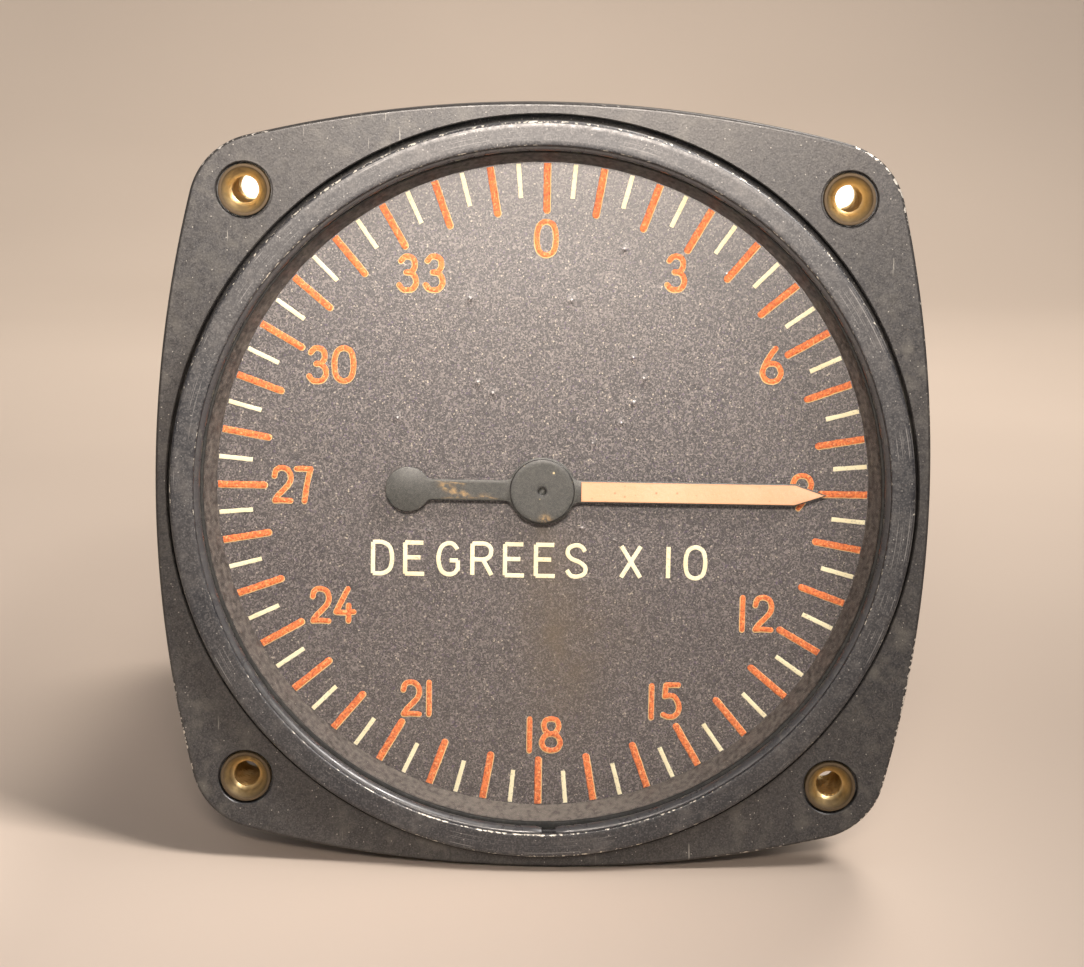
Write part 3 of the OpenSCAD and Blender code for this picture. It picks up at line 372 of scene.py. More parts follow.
# %% Paints of the scale and the pointer
def mix_thick_paint(name, deep, full, crumb, crumb_mm=0.13):
    """Luminous paint: full colour on top, deeper in its pits, with pale crumbs."""
    f = Finish(name, full, 0.7)
    fine = f.grain(crumb_mm, 3)
    tone = f.tint(deep, fine, 0.34, 0.6, 1, full)
    f.set("Base Color", f.tint(tone, f.grain(crumb_mm * 1.3, 1), 0.58, 0.68, 0.6, crumb))
    f.rough(fine, 0.6, 0.8)
    f.relief(fine, 0.07)
    return f.material


def mix_flat_paint(name, full, stained):
    """Thin printed paint: even, with a few darker grains where the dial shows through."""
    f = Finish(name, full, 0.55)
    tone = f.tint(full, f.grain(1.8, 2), 0.4, 0.7, 0.5, stained)
    f.set("Base Color", f.tint(tone, f.grain(0.14, 2), 0.40, 0.28, 0.55, (0.22, 0.19, 0.14)))
    f.rough(f.grain(0.4, 2), 0.5, 0.68)
    f.relief(f.grain(0.15, 2), 0.02)
    return f.material


def mix_arm_paint():
    """Old cream paint, with burnt dots, and a darker rim that is partly the paint's thin edge and partly
    painted shade.
    """
    f = Finish("arm_paint", (0.84, 0.56, 0.33), 0.6)
    tone = f.tint((0.585, 0.325, 0.185), f.grain(5, 2), 0.3, 0.7, 1, (0.64, 0.39, 0.25))
    tone = f.tint(tone, f.grain(0.2, 3), 0.52, 0.72, 0.45, (0.62, 0.34, 0.17))
    tone = f.flecks(tone, 0.85, (0.08, 0.18), (0.58, 0.64), 0.75, (0.36, 0.17, 0.08))
    # A darker rim: partly the paint's thin edge, partly a painted shade along the arm's edges.
    f.set("Base Color", f.tint(tone, f.mark(EDGE_GAP), 0.16, 0.0, 0.75, (0.50, 0.25, 0.12)))
    f.rough(f.grain(0.4, 2), 0.5, 0.7)
    f.relief(f.grain(0.25, 3), 0.04)
    return f.material


orange_paint = mix_thick_paint("scale_orange", (0.40, 0.080, 0.022), (0.72, 0.190, 0.050), (0.88, 0.42, 0.17))
under_paint = mix_flat_paint("scale_underprint", (0.72, 0.50, 0.22), (0.50, 0.30, 0.12))
cream_paint = mix_flat_paint("scale_cream", (0.77, 0.71, 0.48), (0.63, 0.52, 0.29))
arm_paint = mix_arm_paint()
print("mixed", orange_paint.name, under_paint.name, cream_paint.name, arm_paint.name)

# %% Pointer grey
def mix_pointer_grey():
    """A green-grey with pale chips, brown where it has flaked, and nearly black along its rims as painted
    shade.
    """
    f = Finish("pointer_grey", (0.050, 0.051, 0.046), 0.42, Specular_IOR_Level=0.65)
    _, shade = f.specks(0.18)
    tone = f.tint((0.024, 0.025, 0.023), shade, 0.2, 0.8, 1, (0.050, 0.050, 0.044))
    tone = f.flecks(tone, 1.1, (0.07, 0.14), (0.66, 0.7), 1, (0.50, 0.40, 0.22))
    smear = f.sum("MULTIPLY", f.mark(STAIN_AND_PAINTED_LIGHT), f.between(f.grain(0.35, 3), 0.40, 0.56))
    tone = f.blend(smear, tone, (0.42, 0.26, 0.10))
    # Painted shade: nearly black along the rims, on the hub round its edge and in its dimple.
    f.set("Base Color", f.tint(tone, f.mark(EDGE_GAP), 0.22, 0.09, 0.95, (0.004, 0.004, 0.004)))
    f.rough(f.grain(0.18, 3), 0.36, 0.48)
    f.relief(f.grain(0.18, 3), 0.006)
    return f.material


pointer_grey = mix_pointer_grey()
print("mixed", pointer_grey.name)

# %% [markdown]
# ## Metals, insulators and glass
# Most of the metal is one recipe with other numbers: a colour that wanders a little, a roughness that shows
# turning or grinding marks, and dirt that has settled in spots. Two marks of the mesh change it further: old
# grime on an outer rim, and a painted highlight, a brighter colour down in a bore. Mouldings and wire
# insulation are another recipe. The glass is clear. Only the straight look through it bends and mirrors: light
# that has already bounced off the dial passes as if the pane weren't there, or the dial would be lit twice.

# %% Metal, moulding and glass
def mix_metal(name, color, roughness, spread=0.12, dirt=(0.10, 0.08, 0.06), amount=0.35, lines=(1, 1, 1)):
    """Bare or plated metal, with tool marks along the axes whose number in lines is small."""
    f = Finish(name, color, roughness, 1.0)
    tool = f.grain(0.3, 3, f.stretched(*lines))
    dull = tuple(c * 0.72 for c in color)
    # Painted highlight: where the mesh carries the highlight mark, the metal is drawn in a brighter copy of
    # its colour.
    bright = tuple(min(1, c * 1.9) for c in color)
    tone = f.blend(f.mark(PAINTED_HIGHLIGHT), f.tint(dull, tool, 0.3, 0.7, 1, color), bright)
    grime = f.sum("MAXIMUM", f.between(f.grain(2.2, 4), 0.48, 0.68, 0, amount), f.mark(STAIN_AND_PAINTED_LIGHT))
    grime = f.sum("SUBTRACT", grime, f.mark(PAINTED_HIGHLIGHT))
    f.set("Base Color", f.blend(grime, tone, dirt))
    f.set("Metallic", f.between(grime, 0.0, 1.0, 1.0, 0.2))
    polish = f.between(tool, 0.3, 0.7, roughness - spread / 2, roughness + spread / 2)
    f.set("Roughness", f.sum("MAXIMUM", polish, f.sum("MULTIPLY", f.mark(STAIN_AND_PAINTED_LIGHT), 0.8)))
    f.relief(tool, 0.012)
    return f.material


def mix_moulding(name, color, light, roughness, grain_mm=0.8):
    """Moulded, waxed or varnished insulation."""
    f = Finish(name, color, roughness)
    f.set("Base Color", f.tint(color, f.grain(grain_mm, 4), 0.35, 0.7, 1, light))
    f.rough(f.grain(0.4, 2), roughness - 0.08, roughness + 0.08)
    f.relief(f.grain(grain_mm / 3, 3), 0.02)
    return f.material


def mix_glass():
    """Clear glass with a little haze, which only the straight look meets."""
    f = Finish("clear_glass", (0.97, 0.985, 0.98), 0.02, Transmission_Weight=1.0, IOR=1.45)
    f.rough(f.grain(6, 3), 0.0, 0.03, 0.45)
    path = f.node("LightPath", {}).outputs
    bounced = f.sum("MAXIMUM", path["Is Diffuse Ray"], path["Is Glossy Ray"])
    passing = f.sum("MAXIMUM", path["Is Shadow Ray"], bounced)
    through = f.node("BsdfTransparent", {}).outputs[0]
    either = f.node("MixShader", {0: passing, 1: f.shader.outputs[0], 2: through})
    f.feed(either.outputs[0], f.tree.nodes["Material Output"].inputs["Surface"])
    return f.material


brass = mix_metal("dull_brass", (0.42, 0.315, 0.16), 0.42, 0.2, (0.050, 0.030, 0.014), 0.85)
bright_steel = mix_metal("ground_steel", (0.62, 0.62, 0.63), 0.28, 0.14)
zinc_steel = mix_metal("plated_steel", (0.66, 0.65, 0.60), 0.38, 0.16, (0.16, 0.12, 0.08), 0.5)
aluminium = mix_metal("machined_casting", (0.66, 0.67, 0.68), 0.42, 0.16)
core_steel = mix_metal("core_laminations", (0.33, 0.34, 0.37), 0.45, 0.2, lines=(0.05, 1, 0.05))
copper = mix_metal("varnished_copper", (0.72, 0.34, 0.16), 0.35, 0.2, (0.20, 0.07, 0.03), 0.6, (1, 0.08, 1))
silver = mix_metal("silver_plate", (0.80, 0.79, 0.74), 0.28, 0.16, (0.12, 0.10, 0.08), 0.6)
bronze = mix_metal("spring_bronze", (0.66, 0.42, 0.20), 0.34, 0.14)
shell_grey = mix_metal("anodised_shell", (0.36, 0.37, 0.33), 0.5, 0.16, (0.12, 0.11, 0.09), 0.5)
phenolic = mix_moulding("brown_phenolic", (0.10, 0.038, 0.014), (0.19, 0.082, 0.034), 0.4)
insert_black = mix_moulding("black_moulding", (0.016, 0.018, 0.020), (0.040, 0.042, 0.044), 0.42)
carbon = mix_moulding("brush_carbon", (0.030, 0.030, 0.033), (0.075, 0.075, 0.08), 0.5, 0.2)
wire_red = mix_moulding("waxed_wire", (0.24, 0.030, 0.018), (0.36, 0.07, 0.04), 0.5, 0.3)
clear_glass = mix_glass()
print("materials so far:", len(bpy.data.materials))

# %% [markdown]
# ## Tools for round and flat metal
# Almost everything here was turned on a lathe or stamped from sheet. `turned` spins a profile, `slab` makes a
# flat piece with any outline and holes, and both round every rim a little, because no real rim is knife
# sharp. `finish_piece` turns the drawing into the room's axes and stores how far each point lies from the
# nearest edge, which the paints read for wear and for a painted shade along the rims.

# %% Rings of points and the skin between them
RING_STEPS = 240


def ring_points(radius, steps=RING_STEPS, middle=(0, 0)):
    """Points round a circle, anticlockwise."""
    angles = [2 * math.pi / steps * i for i in range(steps)]
    return [(middle[0] + radius * math.cos(a), middle[1] + radius * math.sin(a)) for a in angles]


def lay(bm, points, z):
    """One loop of mesh points at height z."""
    return [bm.verts.new((x, y, z)) for x, y in points]


def bridge(bm, upper, lower):
    """A band of faces between two loops of as many points."""
    for i in range(len(upper)):
        bm.faces.new((upper[i - 1], upper[i], lower[i], lower[i - 1]))


def skin(bm, loops):
    """Bands of faces down a stack of loops."""
    for upper, lower in zip(loops, loops[1:]):
        bridge(bm, upper, lower)


def inside(points, loops):
    """For each point, whether it lies on the metal between the outline and the holes."""
    ends = numpy.array([(*a, *b) for loop in loops for a, b in zip(loop, loop[1:] + loop[:1])])
    x, y = points[:, :1], points[:, 1:]
    x1, y1, x2, y2 = ends.T
    crosses = (y1 > y) != (y2 > y)
    rise = numpy.where(y2 == y1, 1, y2 - y1)
    left = x < (x2 - x1) * (y - y1) / rise + x1
    return (crosses & left).sum(axis=1) % 2 == 1


def fill(bm, loops, spots=()):
    """Closes the flat face between an outline and its holes, with extra points where they are given."""
    corners = [v for loop in loops for v in loop]
    flat = [Vector((v.co.x, v.co.y)) for v in corners] + [Vector(s) for s in spots]
    edges, start = [], 0
    for loop in loops:
        edges += [(start + i, start + (i + 1) % len(loop)) for i in range(len(loop))]
        start += len(loop)
    where, _, faces, origin, _, _ = delaunay_2d_cdt(flat, edges, [], 0, 1e-6)
    shown = numpy.array([[sum(where[i][k] for i in f) / 3 for k in (0, 1)] for f in faces])
    keep = inside(shown, [[(v.co.x, v.co.y) for v in loop] for loop in loops])
    z = corners[0].co.z
    made = {}
    for face, kept in zip(faces, keep):
        if not kept:
            continue
        for i in face:
            if i not in made:
                first = origin[i][0]
                made[i] = corners[first] if first < len(corners) else bm.verts.new((*where[i], z))
        bm.faces.new([made[i] for i in face])


print("a full ring has", RING_STEPS, "points")

# %% Rounded profiles, turned pieces and slabs
def softened(corners, steps=3):
    """A profile of (radius, z, rounding) corners, with each corner rounded."""
    path = []
    for i, (x, y, soft) in enumerate(corners):
        here = Vector((x, y))
        if not soft:
            path.append(here)
            continue
        before = (Vector(corners[i - 1][:2]) - here).normalized()
        after = (Vector(corners[(i + 1) % len(corners)][:2]) - here).normalized()
        half = before.angle(after) / 2
        heart = here + (before + after).normalized() * soft / math.sin(half)
        first = here + before * soft / math.tan(half) - heart
        last = here + after * soft / math.tan(half) - heart
        for k in range(steps + 1):
            path.append(heart + first.slerp(last, k / steps).normalized() * soft)
    return path


def split_long(path, longest=1.5):
    """More points on the long straights, so that wear marks have points to sit on."""
    full = []
    for a, b in zip(path, path[1:] + path[:1]):
        parts = max(1, min(8, math.ceil((b - a).length / longest)))
        full += [a.lerp(b, k / parts) for k in range(parts)]
    return full


def turned(bm, corners, steps=RING_STEPS, shape=None, middle=(0, 0), close=True, longest=1.5):
    """Spins a closed profile round the axis; shape can move each point, to cut a thread or knock a rim."""
    path = split_long(softened(corners), longest)
    loops = []
    for r, z in path:
        if r < 1e-6:
            loops.append([bm.verts.new((*middle, z))])
            continue
        loop = []
        for k in range(steps):
            angle = 2 * math.pi * k / steps
            radius, height = shape(r, z, angle) if shape else (r, z)
            across = (middle[0] + radius * math.cos(angle), middle[1] + radius * math.sin(angle))
            loop.append(bm.verts.new((*across, height)))
        loops.append(loop)
    for upper, lower in zip(loops, loops[1:] + (loops[:1] if close else [])):
        if len(upper) == len(lower) > 1:
            bridge(bm, upper, lower)
        elif len(upper) + len(lower) > 2:
            tip, rim = (upper[0], lower) if len(upper) == 1 else (lower[0], upper)
            for i in range(len(rim)):
                bm.faces.new((rim[i - 1], rim[i], tip))
    return loops


def inset(points, gap):
    """An outline moved inwards by gap, when it runs anticlockwise."""
    moved = []
    for i, (x, y) in enumerate(points):
        (ax, ay), (cx, cy) = points[i - 1], points[(i + 1) % len(points)]
        one = Vector((x - ax, y - ay)).normalized()
        two = Vector((cx - x, cy - y)).normalized()
        lean = Vector((-one.y - two.y, one.x + two.x)) / (1 + one.dot(two))
        moved.append((x + lean.x * gap, y + lean.y * gap))
    return moved


def rim_steps(top, bottom, edge, steps=3):
    """Insets and heights of the loops down a wall with both rims rounded."""
    turn = [math.pi / 2 * k / steps for k in range(steps + 1)]
    upper = [(edge * (1 - math.sin(a)), top - edge * (1 - math.cos(a))) for a in turn]
    lower = [(edge * (1 - math.cos(a)), bottom + edge * (1 - math.sin(a))) for a in turn]
    return upper + lower


def slab(bm, outline, holes, top, bottom, edge=0.1, spots=()):
    """A flat piece: outline anticlockwise, holes clockwise, rims rounded by edge."""
    walls = []
    for points in [outline, *holes]:
        walls.append([lay(bm, inset(points, gap), z) for gap, z in rim_steps(top, bottom, edge)])
        skin(bm, walls[-1])
    fill(bm, [w[0] for w in walls], spots)
    fill(bm, [w[-1] for w in walls])


def hole(radius, middle=(0, 0), steps=48):
    """A circle for slab's list of holes."""
    return ring_points(radius, steps, middle)[::-1]


print("tools ready: turned, slab and their helpers")

# %% Finish a piece
def finish_piece(bm, name, material, replaces=(), marks=None, sharp=32, body="case_body"):
    """Makes the mesh an object in the room's axes, on its body, with its finish and its wear marks."""
    bmesh.ops.recalc_face_normals(bm, faces=bm.faces)
    mesh = bpy.data.meshes.new(name)
    bm.to_mesh(mesh)
    bm.free()
    for key, measure in (marks or {}).items():
        layer = mesh.attributes.new(key, "FLOAT", "POINT")
        layer.data.foreach_set("value", [measure(*v.co) for v in mesh.vertices])
    mesh.transform(TO_ROOM)
    mesh.shade_smooth()
    mesh.set_sharp_from_angle(angle=math.radians(sharp))
    mesh.materials.append(material)
    piece = bpy.data.objects.new(name, mesh)
    bpy.context.scene.collection.objects.link(piece)
    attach(piece, body)
    if replaces:
        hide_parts(*replaces)
    print(f"{name}: {len(mesh.polygons)} faces")


FAR = 5.0


def nearest(*edges):
    """Edge mark for turned pieces: the distance to the nearest of some (radius, z) edges, read for wear and
    for painted shade.
    """
    return lambda x, y, z: min([FAR, *(math.hypot(math.hypot(x, y) - r, z - h) for r, h in edges)])


# %% [markdown]
# ## The case casting
# The real case is one casting: a square flange with bulged sides and round corners, a barrel behind it with
# a little draft, a cast boss behind each of the four inserts, and an inner ledge that carries the dial. It
# could be a boolean union of solids, but a mesh with clean rings keeps its rims smooth and its wear marks
# sharp, so flange, barrel and bore are built as one skin, and the bosses are set into it.

# %% Outline of the flange
flange_t = 6.4
side_r = 130.0
corner_r = 8.0
side_shift = side_r - flange_half
corner = (math.sqrt(2 * (side_r - corner_r) ** 2 - side_shift ** 2) - side_shift) / 2
corner_lean = math.atan2(corner, corner + side_shift)
insert_circle = bezel_r + 5.35
insert_x = insert_circle * math.sqrt(0.5)
insert_places = [(sx * insert_x, sy * insert_x) for sy in (1, -1) for sx in (1, -1)]


def flange_outline():
    """Four bulged sides that meet in round corners, anticlockwise."""
    points = []
    for quarter in range(4):
        arcs = [((-side_shift, 0), side_r, -corner_lean, corner_lean, 64),
                ((corner, corner), corner_r, corner_lean, math.pi / 2 - corner_lean, 18)]
        for middle, radius, start, end, parts in arcs:
            for k in range(parts):
                a = start + (end - start) * k / parts
                p = Vector((middle[0] + radius * math.cos(a), middle[1] + radius * math.sin(a)))
                p.rotate(Matrix.Rotation(quarter * math.pi / 2, 2))
                points.append((p.x, p.y))
    return points


def outline_gap(x, y):
    """Distance from a point of the flange in to its outline."""
    if abs(x) > corner and abs(y) > corner:
        return corner_r - math.hypot(abs(x) - corner, abs(y) - corner)
    return side_r - max(math.hypot(abs(x) + side_shift, y), math.hypot(x, abs(y) + side_shift))


print("flange corners are centred at", round(corner, 2), "mm")

# %% Where the flange is rubbed
groove_r = bezel_r + 0.6
groove_depth = 2.4
insert_ring_r = 2.95
calm_r = 40.3
rub_spots = [(44, 5, 0.9), (12, 10, 0.3), (332, 9, 0.7), (318, 4, 0.5), (300, 10, 0.35), (215, 6, 0.6),
             (132, 7, 0.4), (88, 14, 0.25)]


def flange_gap(x, y, z):
    """Distance to the nearest rim of the casting: the paint there is worn to metal, and darkened as painted
    shade.
    """
    r = math.hypot(x, y)
    out = outline_gap(x, y)
    gaps = [math.hypot(out, z), math.hypot(out, z + flange_t), math.hypot(r - groove_r, z) + 0.12]
    gaps += [math.hypot(math.hypot(x - a, y - b) - insert_ring_r, z) + 0.26 for a, b in insert_places]
    gaps.append(math.hypot(r - half_width("back_cover"), z - back_of("case")))
    return min(FAR, *gaps)


def flange_rub(x, y, z):
    """How hard each place was rubbed: corners and the lower right side most, the front more than the back."""
    angle = math.degrees(math.atan2(y, x)) % 360
    reach = math.hypot(x, y)
    rub = 0.28 + 0.35 * noise.noise(Vector((x, y, z)) / 9)
    if reach > 43:
        rub += 0.12
    for place, spread, extra in rub_spots:
        away = abs((angle - place + 180) % 360 - 180)
        rub += extra * math.exp(-(away / spread) ** 2)
    if reach < calm_r:
        rub *= 0.35
    return max(0.0, rub) * (0.55 if z < -1.5 else 1.0)


print(len(rub_spots), "places on the rim are rubbed harder than the rest")

# %% Build the case casting
insert_hole_r = 2.72
screw_hole_r = 1.47
cover_screw_circle = 33.6
barrel_r = half_width("back_cover")
barrel_back = back_of("case")


def build_case():
    bm = bmesh.new()
    outline = flange_outline()
    rim = 0.28
    steps = [(rim + 0.06, 0), *rim_steps(0, -flange_t, rim, 4)]
    outer = [lay(bm, inset(outline, gap), z) for gap, z in steps]
    skin(bm, outer)
    seat, bore, ledge, plate = bezel_r - 1.05, bezel_r - 2.1, dial_z - 1, dial_z - 4
    lip, neck, neck_z = bore - 4.5, barrel_r + 0.4, -flange_t - 1
    profile = [(groove_r + 0.12, 0, 0), (groove_r, -0.12, 0), (groove_r, -groove_depth, 0.2),
               (seat, -groove_depth, 0.1), (seat, ledge, 0), (lip, ledge, 0.2), (lip, plate, 0.2),
               (bore, plate, 0), (bore, barrel_back, 0.3), (barrel_r, barrel_back, 0.4),
               (neck, neck_z, 0.001)]
    path = split_long(softened(profile), 3)
    path = path[:path.index(max(path[-20:], key=lambda p: p.y)) + 1]
    cove = [Vector((neck + 1 - math.cos(a), neck_z + math.sin(a))) for a in (0.4, 0.8, 1.2, math.pi / 2)]
    loops = [lay(bm, ring_points(p.x), p.y) for p in path + cove]
    skin(bm, loops)
    bores = []
    for place in insert_places:
        steps = [(insert_ring_r + 0.1, 0), (insert_ring_r, -0.1), (insert_ring_r, -1.2),
                 (insert_hole_r, -1.2), (insert_hole_r, -flange_t)]
        bores.append([lay(bm, hole(r, place, 60), z) for r, z in steps])
        skin(bm, bores[-1])
    fill(bm, [outer[0], loops[0], *(b[0] for b in bores)], scatter(outline))
    fill(bm, [outer[-1], loops[-1], *(b[-1] for b in bores)])
    add_bosses(bm)
    marks = {EDGE_GAP: flange_gap, RUB_AND_HIGHLIGHT: flange_rub}
    finish_piece(bm, "case_casting", case_paint, ["case"], marks)


def scatter(outline):
    """Points over the flange's face, closer together near its rims."""
    spots = [p for d in (0.52, 0.75, 1.1, 1.6, 2.4, 3.5, 5, 7, 9, 11) for p in inset(outline, d)]
    spots += [p for place in insert_places for r in (3.2, 3.5, 4.0, 5.0) for p in ring_points(r, 48, place)]
    spots += ring_points(groove_r + 0.26) + ring_points(groove_r + 0.6)
    good = []
    for x, y in spots:
        clear = min(math.hypot(x - a, y - b) - insert_ring_r for a, b in insert_places)
        if math.hypot(x, y) > groove_r + 0.22 and clear > 0.2 and outline_gap(x, y) > 0.5:
            good.append((x, y))
    return thinned(good, 0.16)


def thinned(spots, gap):
    """Leaves out points that crowd an earlier one."""
    kept = {}
    for x, y in spots:
        kept.setdefault((round(x / gap), round(y / gap)), (x, y))
    return list(kept.values())


def add_bosses(bm):
    """Cast bosses behind the inserts with their webs, and the lugs inside the back."""
    boss_r, root = 4.6, barrel_r - 0.6
    for quarter in range(4):
        spin = Matrix.Rotation(math.radians(45 + 90 * quarter), 2)
        arc = numpy.linspace(0, math.pi, 25)
        bow = [(insert_circle + boss_r * math.sin(a), -boss_r * math.cos(a)) for a in arc]
        outline = [tuple(spin @ Vector(p)) for p in [(root, -boss_r), *bow, (root, boss_r)]]
        place = tuple(spin @ Vector((insert_circle, 0)))
        slab(bm, outline, [hole(insert_hole_r, place, 60)], -flange_t + 0.3, -9.0, 0.45)
        lug = tuple(spin @ Vector((cover_screw_circle, 0)))
        slab(bm, ring_points(4, 48, lug), [hole(screw_hole_r, lug, 24)], -82.2, barrel_back, 0.15)


build_case()

# %% [markdown]
# ## Panel screw inserts
# Four brass bushes are pressed into the casting for the panel's screws. Each has a countersunk mouth, a cut
# thread and a shoulder behind its boss. The thread is a helix: the bore's radius swings with the angle and the
# depth together, which a turned skin can do by moving its points. The front rims are dark with old grime, and
# the threads are drawn in a brighter brass as a painted highlight.

# %% Threads and the brass inserts
def threaded(pitch, depth, low, high, fade=0.5):
    """Shape function that cuts a helical thread between two heights."""
    def cut(r, z, angle):
        if not low <= z <= high:
            return r, z
        phase = (z / pitch - angle / (2 * math.pi)) % 1
        ramp = min(1, (z - low) / fade + 0.05, (high - z) / fade + 0.05)
        return r + depth * ramp * (1 - abs(2 * phase - 1)), z
    return cut


def build_inserts():
    bm = bmesh.new()
    front, back = front_of("mounting_inserts"), back_of("mounting_inserts")
    bore, mouth, outside, shoulder = 1.4, 2.4, 2.7, 3.6
    low, high = back + 0.3, front - 1.45
    pitch, depth, turns = 0.79, 0.36, 96
    wall = [(bore, high - k * (high - low) / turns, 0) for k in range(turns + 1)]
    profile = [(outside, front, 0.06), (mouth, front, 0.06), (bore + 0.42, front - 1.15, 0), *wall,
               (bore + 0.2, back, 0.05), (shoulder, back, 0.2), (shoulder, back + 1, 0.1),
               (outside, back + 1, 0)]
    cut = threaded(pitch, depth, low, high)

    def bore_only(r, z, angle):
        return cut(r, z, angle) if r < bore + 0.01 else (r, z)

    for place in insert_places:
        turned(bm, profile, 40, bore_only, place, longest=4)
    # Grime on the front rims, and down the bore a brighter brass that is a painted highlight.
    marks = {STAIN_AND_PAINTED_LIGHT: lambda x, y, z: 0.9 if z > front - 0.3 else 0.0,
             PAINTED_HIGHLIGHT: lambda x, y, z: 0.8 if z < front - 1.4 else 0.0}
    finish_piece(bm, "panel_screw_inserts", brass, ["mounting_inserts"], marks, 38)


build_inserts()

# %% [markdown]
# ## Bezel ring, retaining ring, gasket, glass and spacer
# These five are what a watchmaker would call the glazing. The bezel ring screws into the case, a split ring of
# round wire snaps into its mouth and holds the glass down on a rubber gasket, and a spacer ring, wider at the
# glass than at the dial, stands between the two. Each is a turned profile; only the wire ring is swept,
# because it is split. The glass keeps its faces flat right out to its rim: smooth shading that ran over the
# rounded rim would bend the mirror image of a lamp into a white crescent.

# %% Bezel ring
wire_r = 0.7
retainer_z = (front_of("glass_retainer") + back_of("glass_retainer")) / 2
retainer_middle = half_width("glass_retainer") - wire_r


def bezel_wear_and_top_highlight(x, y, z):
    """Bright all round the outer edge, widest at the top as a painted highlight, dotted round the mouth, worn
    at the bottom.
    """
    angle = math.degrees(math.atan2(y, x)) % 360
    # The top term widens the bright line towards the top of the ring: a painted highlight more than wear.
    top = 0.5 + 0.5 * math.sin(math.radians(angle))
    low = math.exp(-(((angle - 270 + 180) % 360 - 180) / 30) ** 2)
    ripple = 0.35 * noise.noise(Vector((x, y, z)) / 4)
    if math.hypot(x, y) > bezel_r - 1.1:
        return max(0.0, 0.65 + 0.45 * top ** 1.5 + 0.35 * low + ripple)
    return max(0.0, 0.35 + 0.15 * top + 0.55 * low + ripple)


def build_bezel():
    bm = bmesh.new()
    front, back = front_of("bezel_ring"), back_of("bezel_ring")
    mouth, seat, skirt, root = bezel_r - 2.55, bezel_r - 2.5, bezel_r - 1.1, bezel_r - 0.5
    track, shelf = retainer_middle + 0.8, retainer_z + wire_r
    floor = shelf - 2 * wire_r
    profile = [(seat, back, 0.15), (skirt, back, 0.3), (skirt, -groove_depth, 0), (root, -groove_depth, 0.05),
               (root, -0.1, 0.05), (bezel_r, -0.1, 0.1), (bezel_r, front, 0.32), (mouth, front, 0.16),
               (mouth, shelf, 0.05), (track, shelf, 0), (track, floor, 0), (seat, floor, 0.05)]
    turned(bm, profile, longest=0.5)
    marks = {EDGE_GAP: nearest((bezel_r, front), (mouth, front)), RUB_AND_HIGHLIGHT: bezel_wear_and_top_highlight}
    finish_piece(bm, "bezel", bezel_black, ["bezel_ring"], marks)


build_bezel()

# %% Split retaining ring
def build_retainer():
    bm = bmesh.new()
    split, around, along = 2.4, 26, 360
    loops = []
    for k in range(along + 1):
        t = k / along
        radius = wire_r * min(1, 0.8 + min(t, 1 - t) * 120)
        angle = math.radians(-88 + split / 2 + (360 - split) * t)
        loop = []
        for m in range(around):
            a = 2 * math.pi * m / around
            r = retainer_middle + radius * math.cos(a)
            z = retainer_z + radius * math.sin(a)
            loop.append(bm.verts.new((r * math.cos(angle), r * math.sin(angle), z)))
        loops.append(loop)
    skin(bm, loops)
    for end in (loops[0], loops[-1]):
        bm.faces.new(end)
    finish_piece(bm, "retaining_ring", retainer_black, ["glass_retainer"], sharp=40)


build_retainer()

# %% Gasket, glass and spacer
def build_glazing():
    seat = half_width("glass_gasket")
    gasket_bore = retainer_middle - 0.95
    foot, brow = gasket_bore - 1.1, gasket_bore + 0.3
    low, top = back_of("glass_gasket"), front_of("glass_gasket")
    bm = bmesh.new()
    turned(bm, [(gasket_bore, low, 0.1), (seat, low, 0.05), (seat, top, 0.05), (gasket_bore, top, 0.15)])
    finish_piece(bm, "glass_seal", gasket_rubber, ["glass_gasket"])
    low, top = back_of("cover_glass"), front_of("cover_glass")
    flat = seat - 0.3
    bm = bmesh.new()
    profile = [(0, low, 0), (flat, low, 0), (seat, low, 0.15), (seat, top, 0.15), (flat, top, 0), (0, top, 0)]
    turned(bm, profile, close=False, longest=12)
    finish_piece(bm, "window_glass", clear_glass, ["cover_glass"])
    low, top = back_of("dial_spacer"), front_of("dial_spacer")
    bm = bmesh.new()
    profile = [(foot, low, 0.05), (seat, low, 0.05), (seat, top, 0.05), (brow, top, 0.12)]
    turned(bm, profile, shape=chipped, longest=0.4)
    finish_piece(bm, "spacer_ring", spacer_brown, ["dial_spacer"], {STAIN_AND_PAINTED_LIGHT: spacer_painted_light})


def chipped(r, z, angle):
    """The spacer's wall is rough, as if its paint had crept and flaked."""
    if r > half_width("dial_spacer") - 0.6:
        return r, z
    rough = noise.noise(Vector((math.cos(angle) * 45, math.sin(angle) * 45, z * 1.6)))
    return r + 0.05 * abs(rough), z


def spacer_painted_light(x, y, z):
    """Painted light: the lowest part of the wall is made lighter, where light from above falls on it."""
    return math.exp(-(math.degrees(math.atan2(x, -y)) / 26) ** 2)


build_glazing()

# %% [markdown]
# ## Dial plate
# A flat disc with a hole for the shaft. Its paint has small blisters and pits that catch the light, so a few
# dozen of them are real bumps in the mesh, set among points that carry the brown stain below the hub.

# %% Dial plate with its blisters
def dial_stain(x, y, z):
    """The brown run below the hub, 1 at its darkest."""
    down = min(1, max(0, (-1.5 - y) / 6)) * min(1, max(0, (30 + y) / 10))
    drift = 1.6 + 0.9 * math.sin(y / 5)
    side = math.exp(-((x - drift) / (2.6 + 0.06 * abs(y))) ** 2)
    patch = math.exp(-(((x - 6.5) / 5.5) ** 2 + ((y + 15) / 5) ** 2))
    spot = math.exp(-(((x + 0.1) / 0.6) ** 2 + ((y + 4.0) / 0.7) ** 2))
    return min(0.8, 0.6 * down * side + 0.25 * patch + spot)


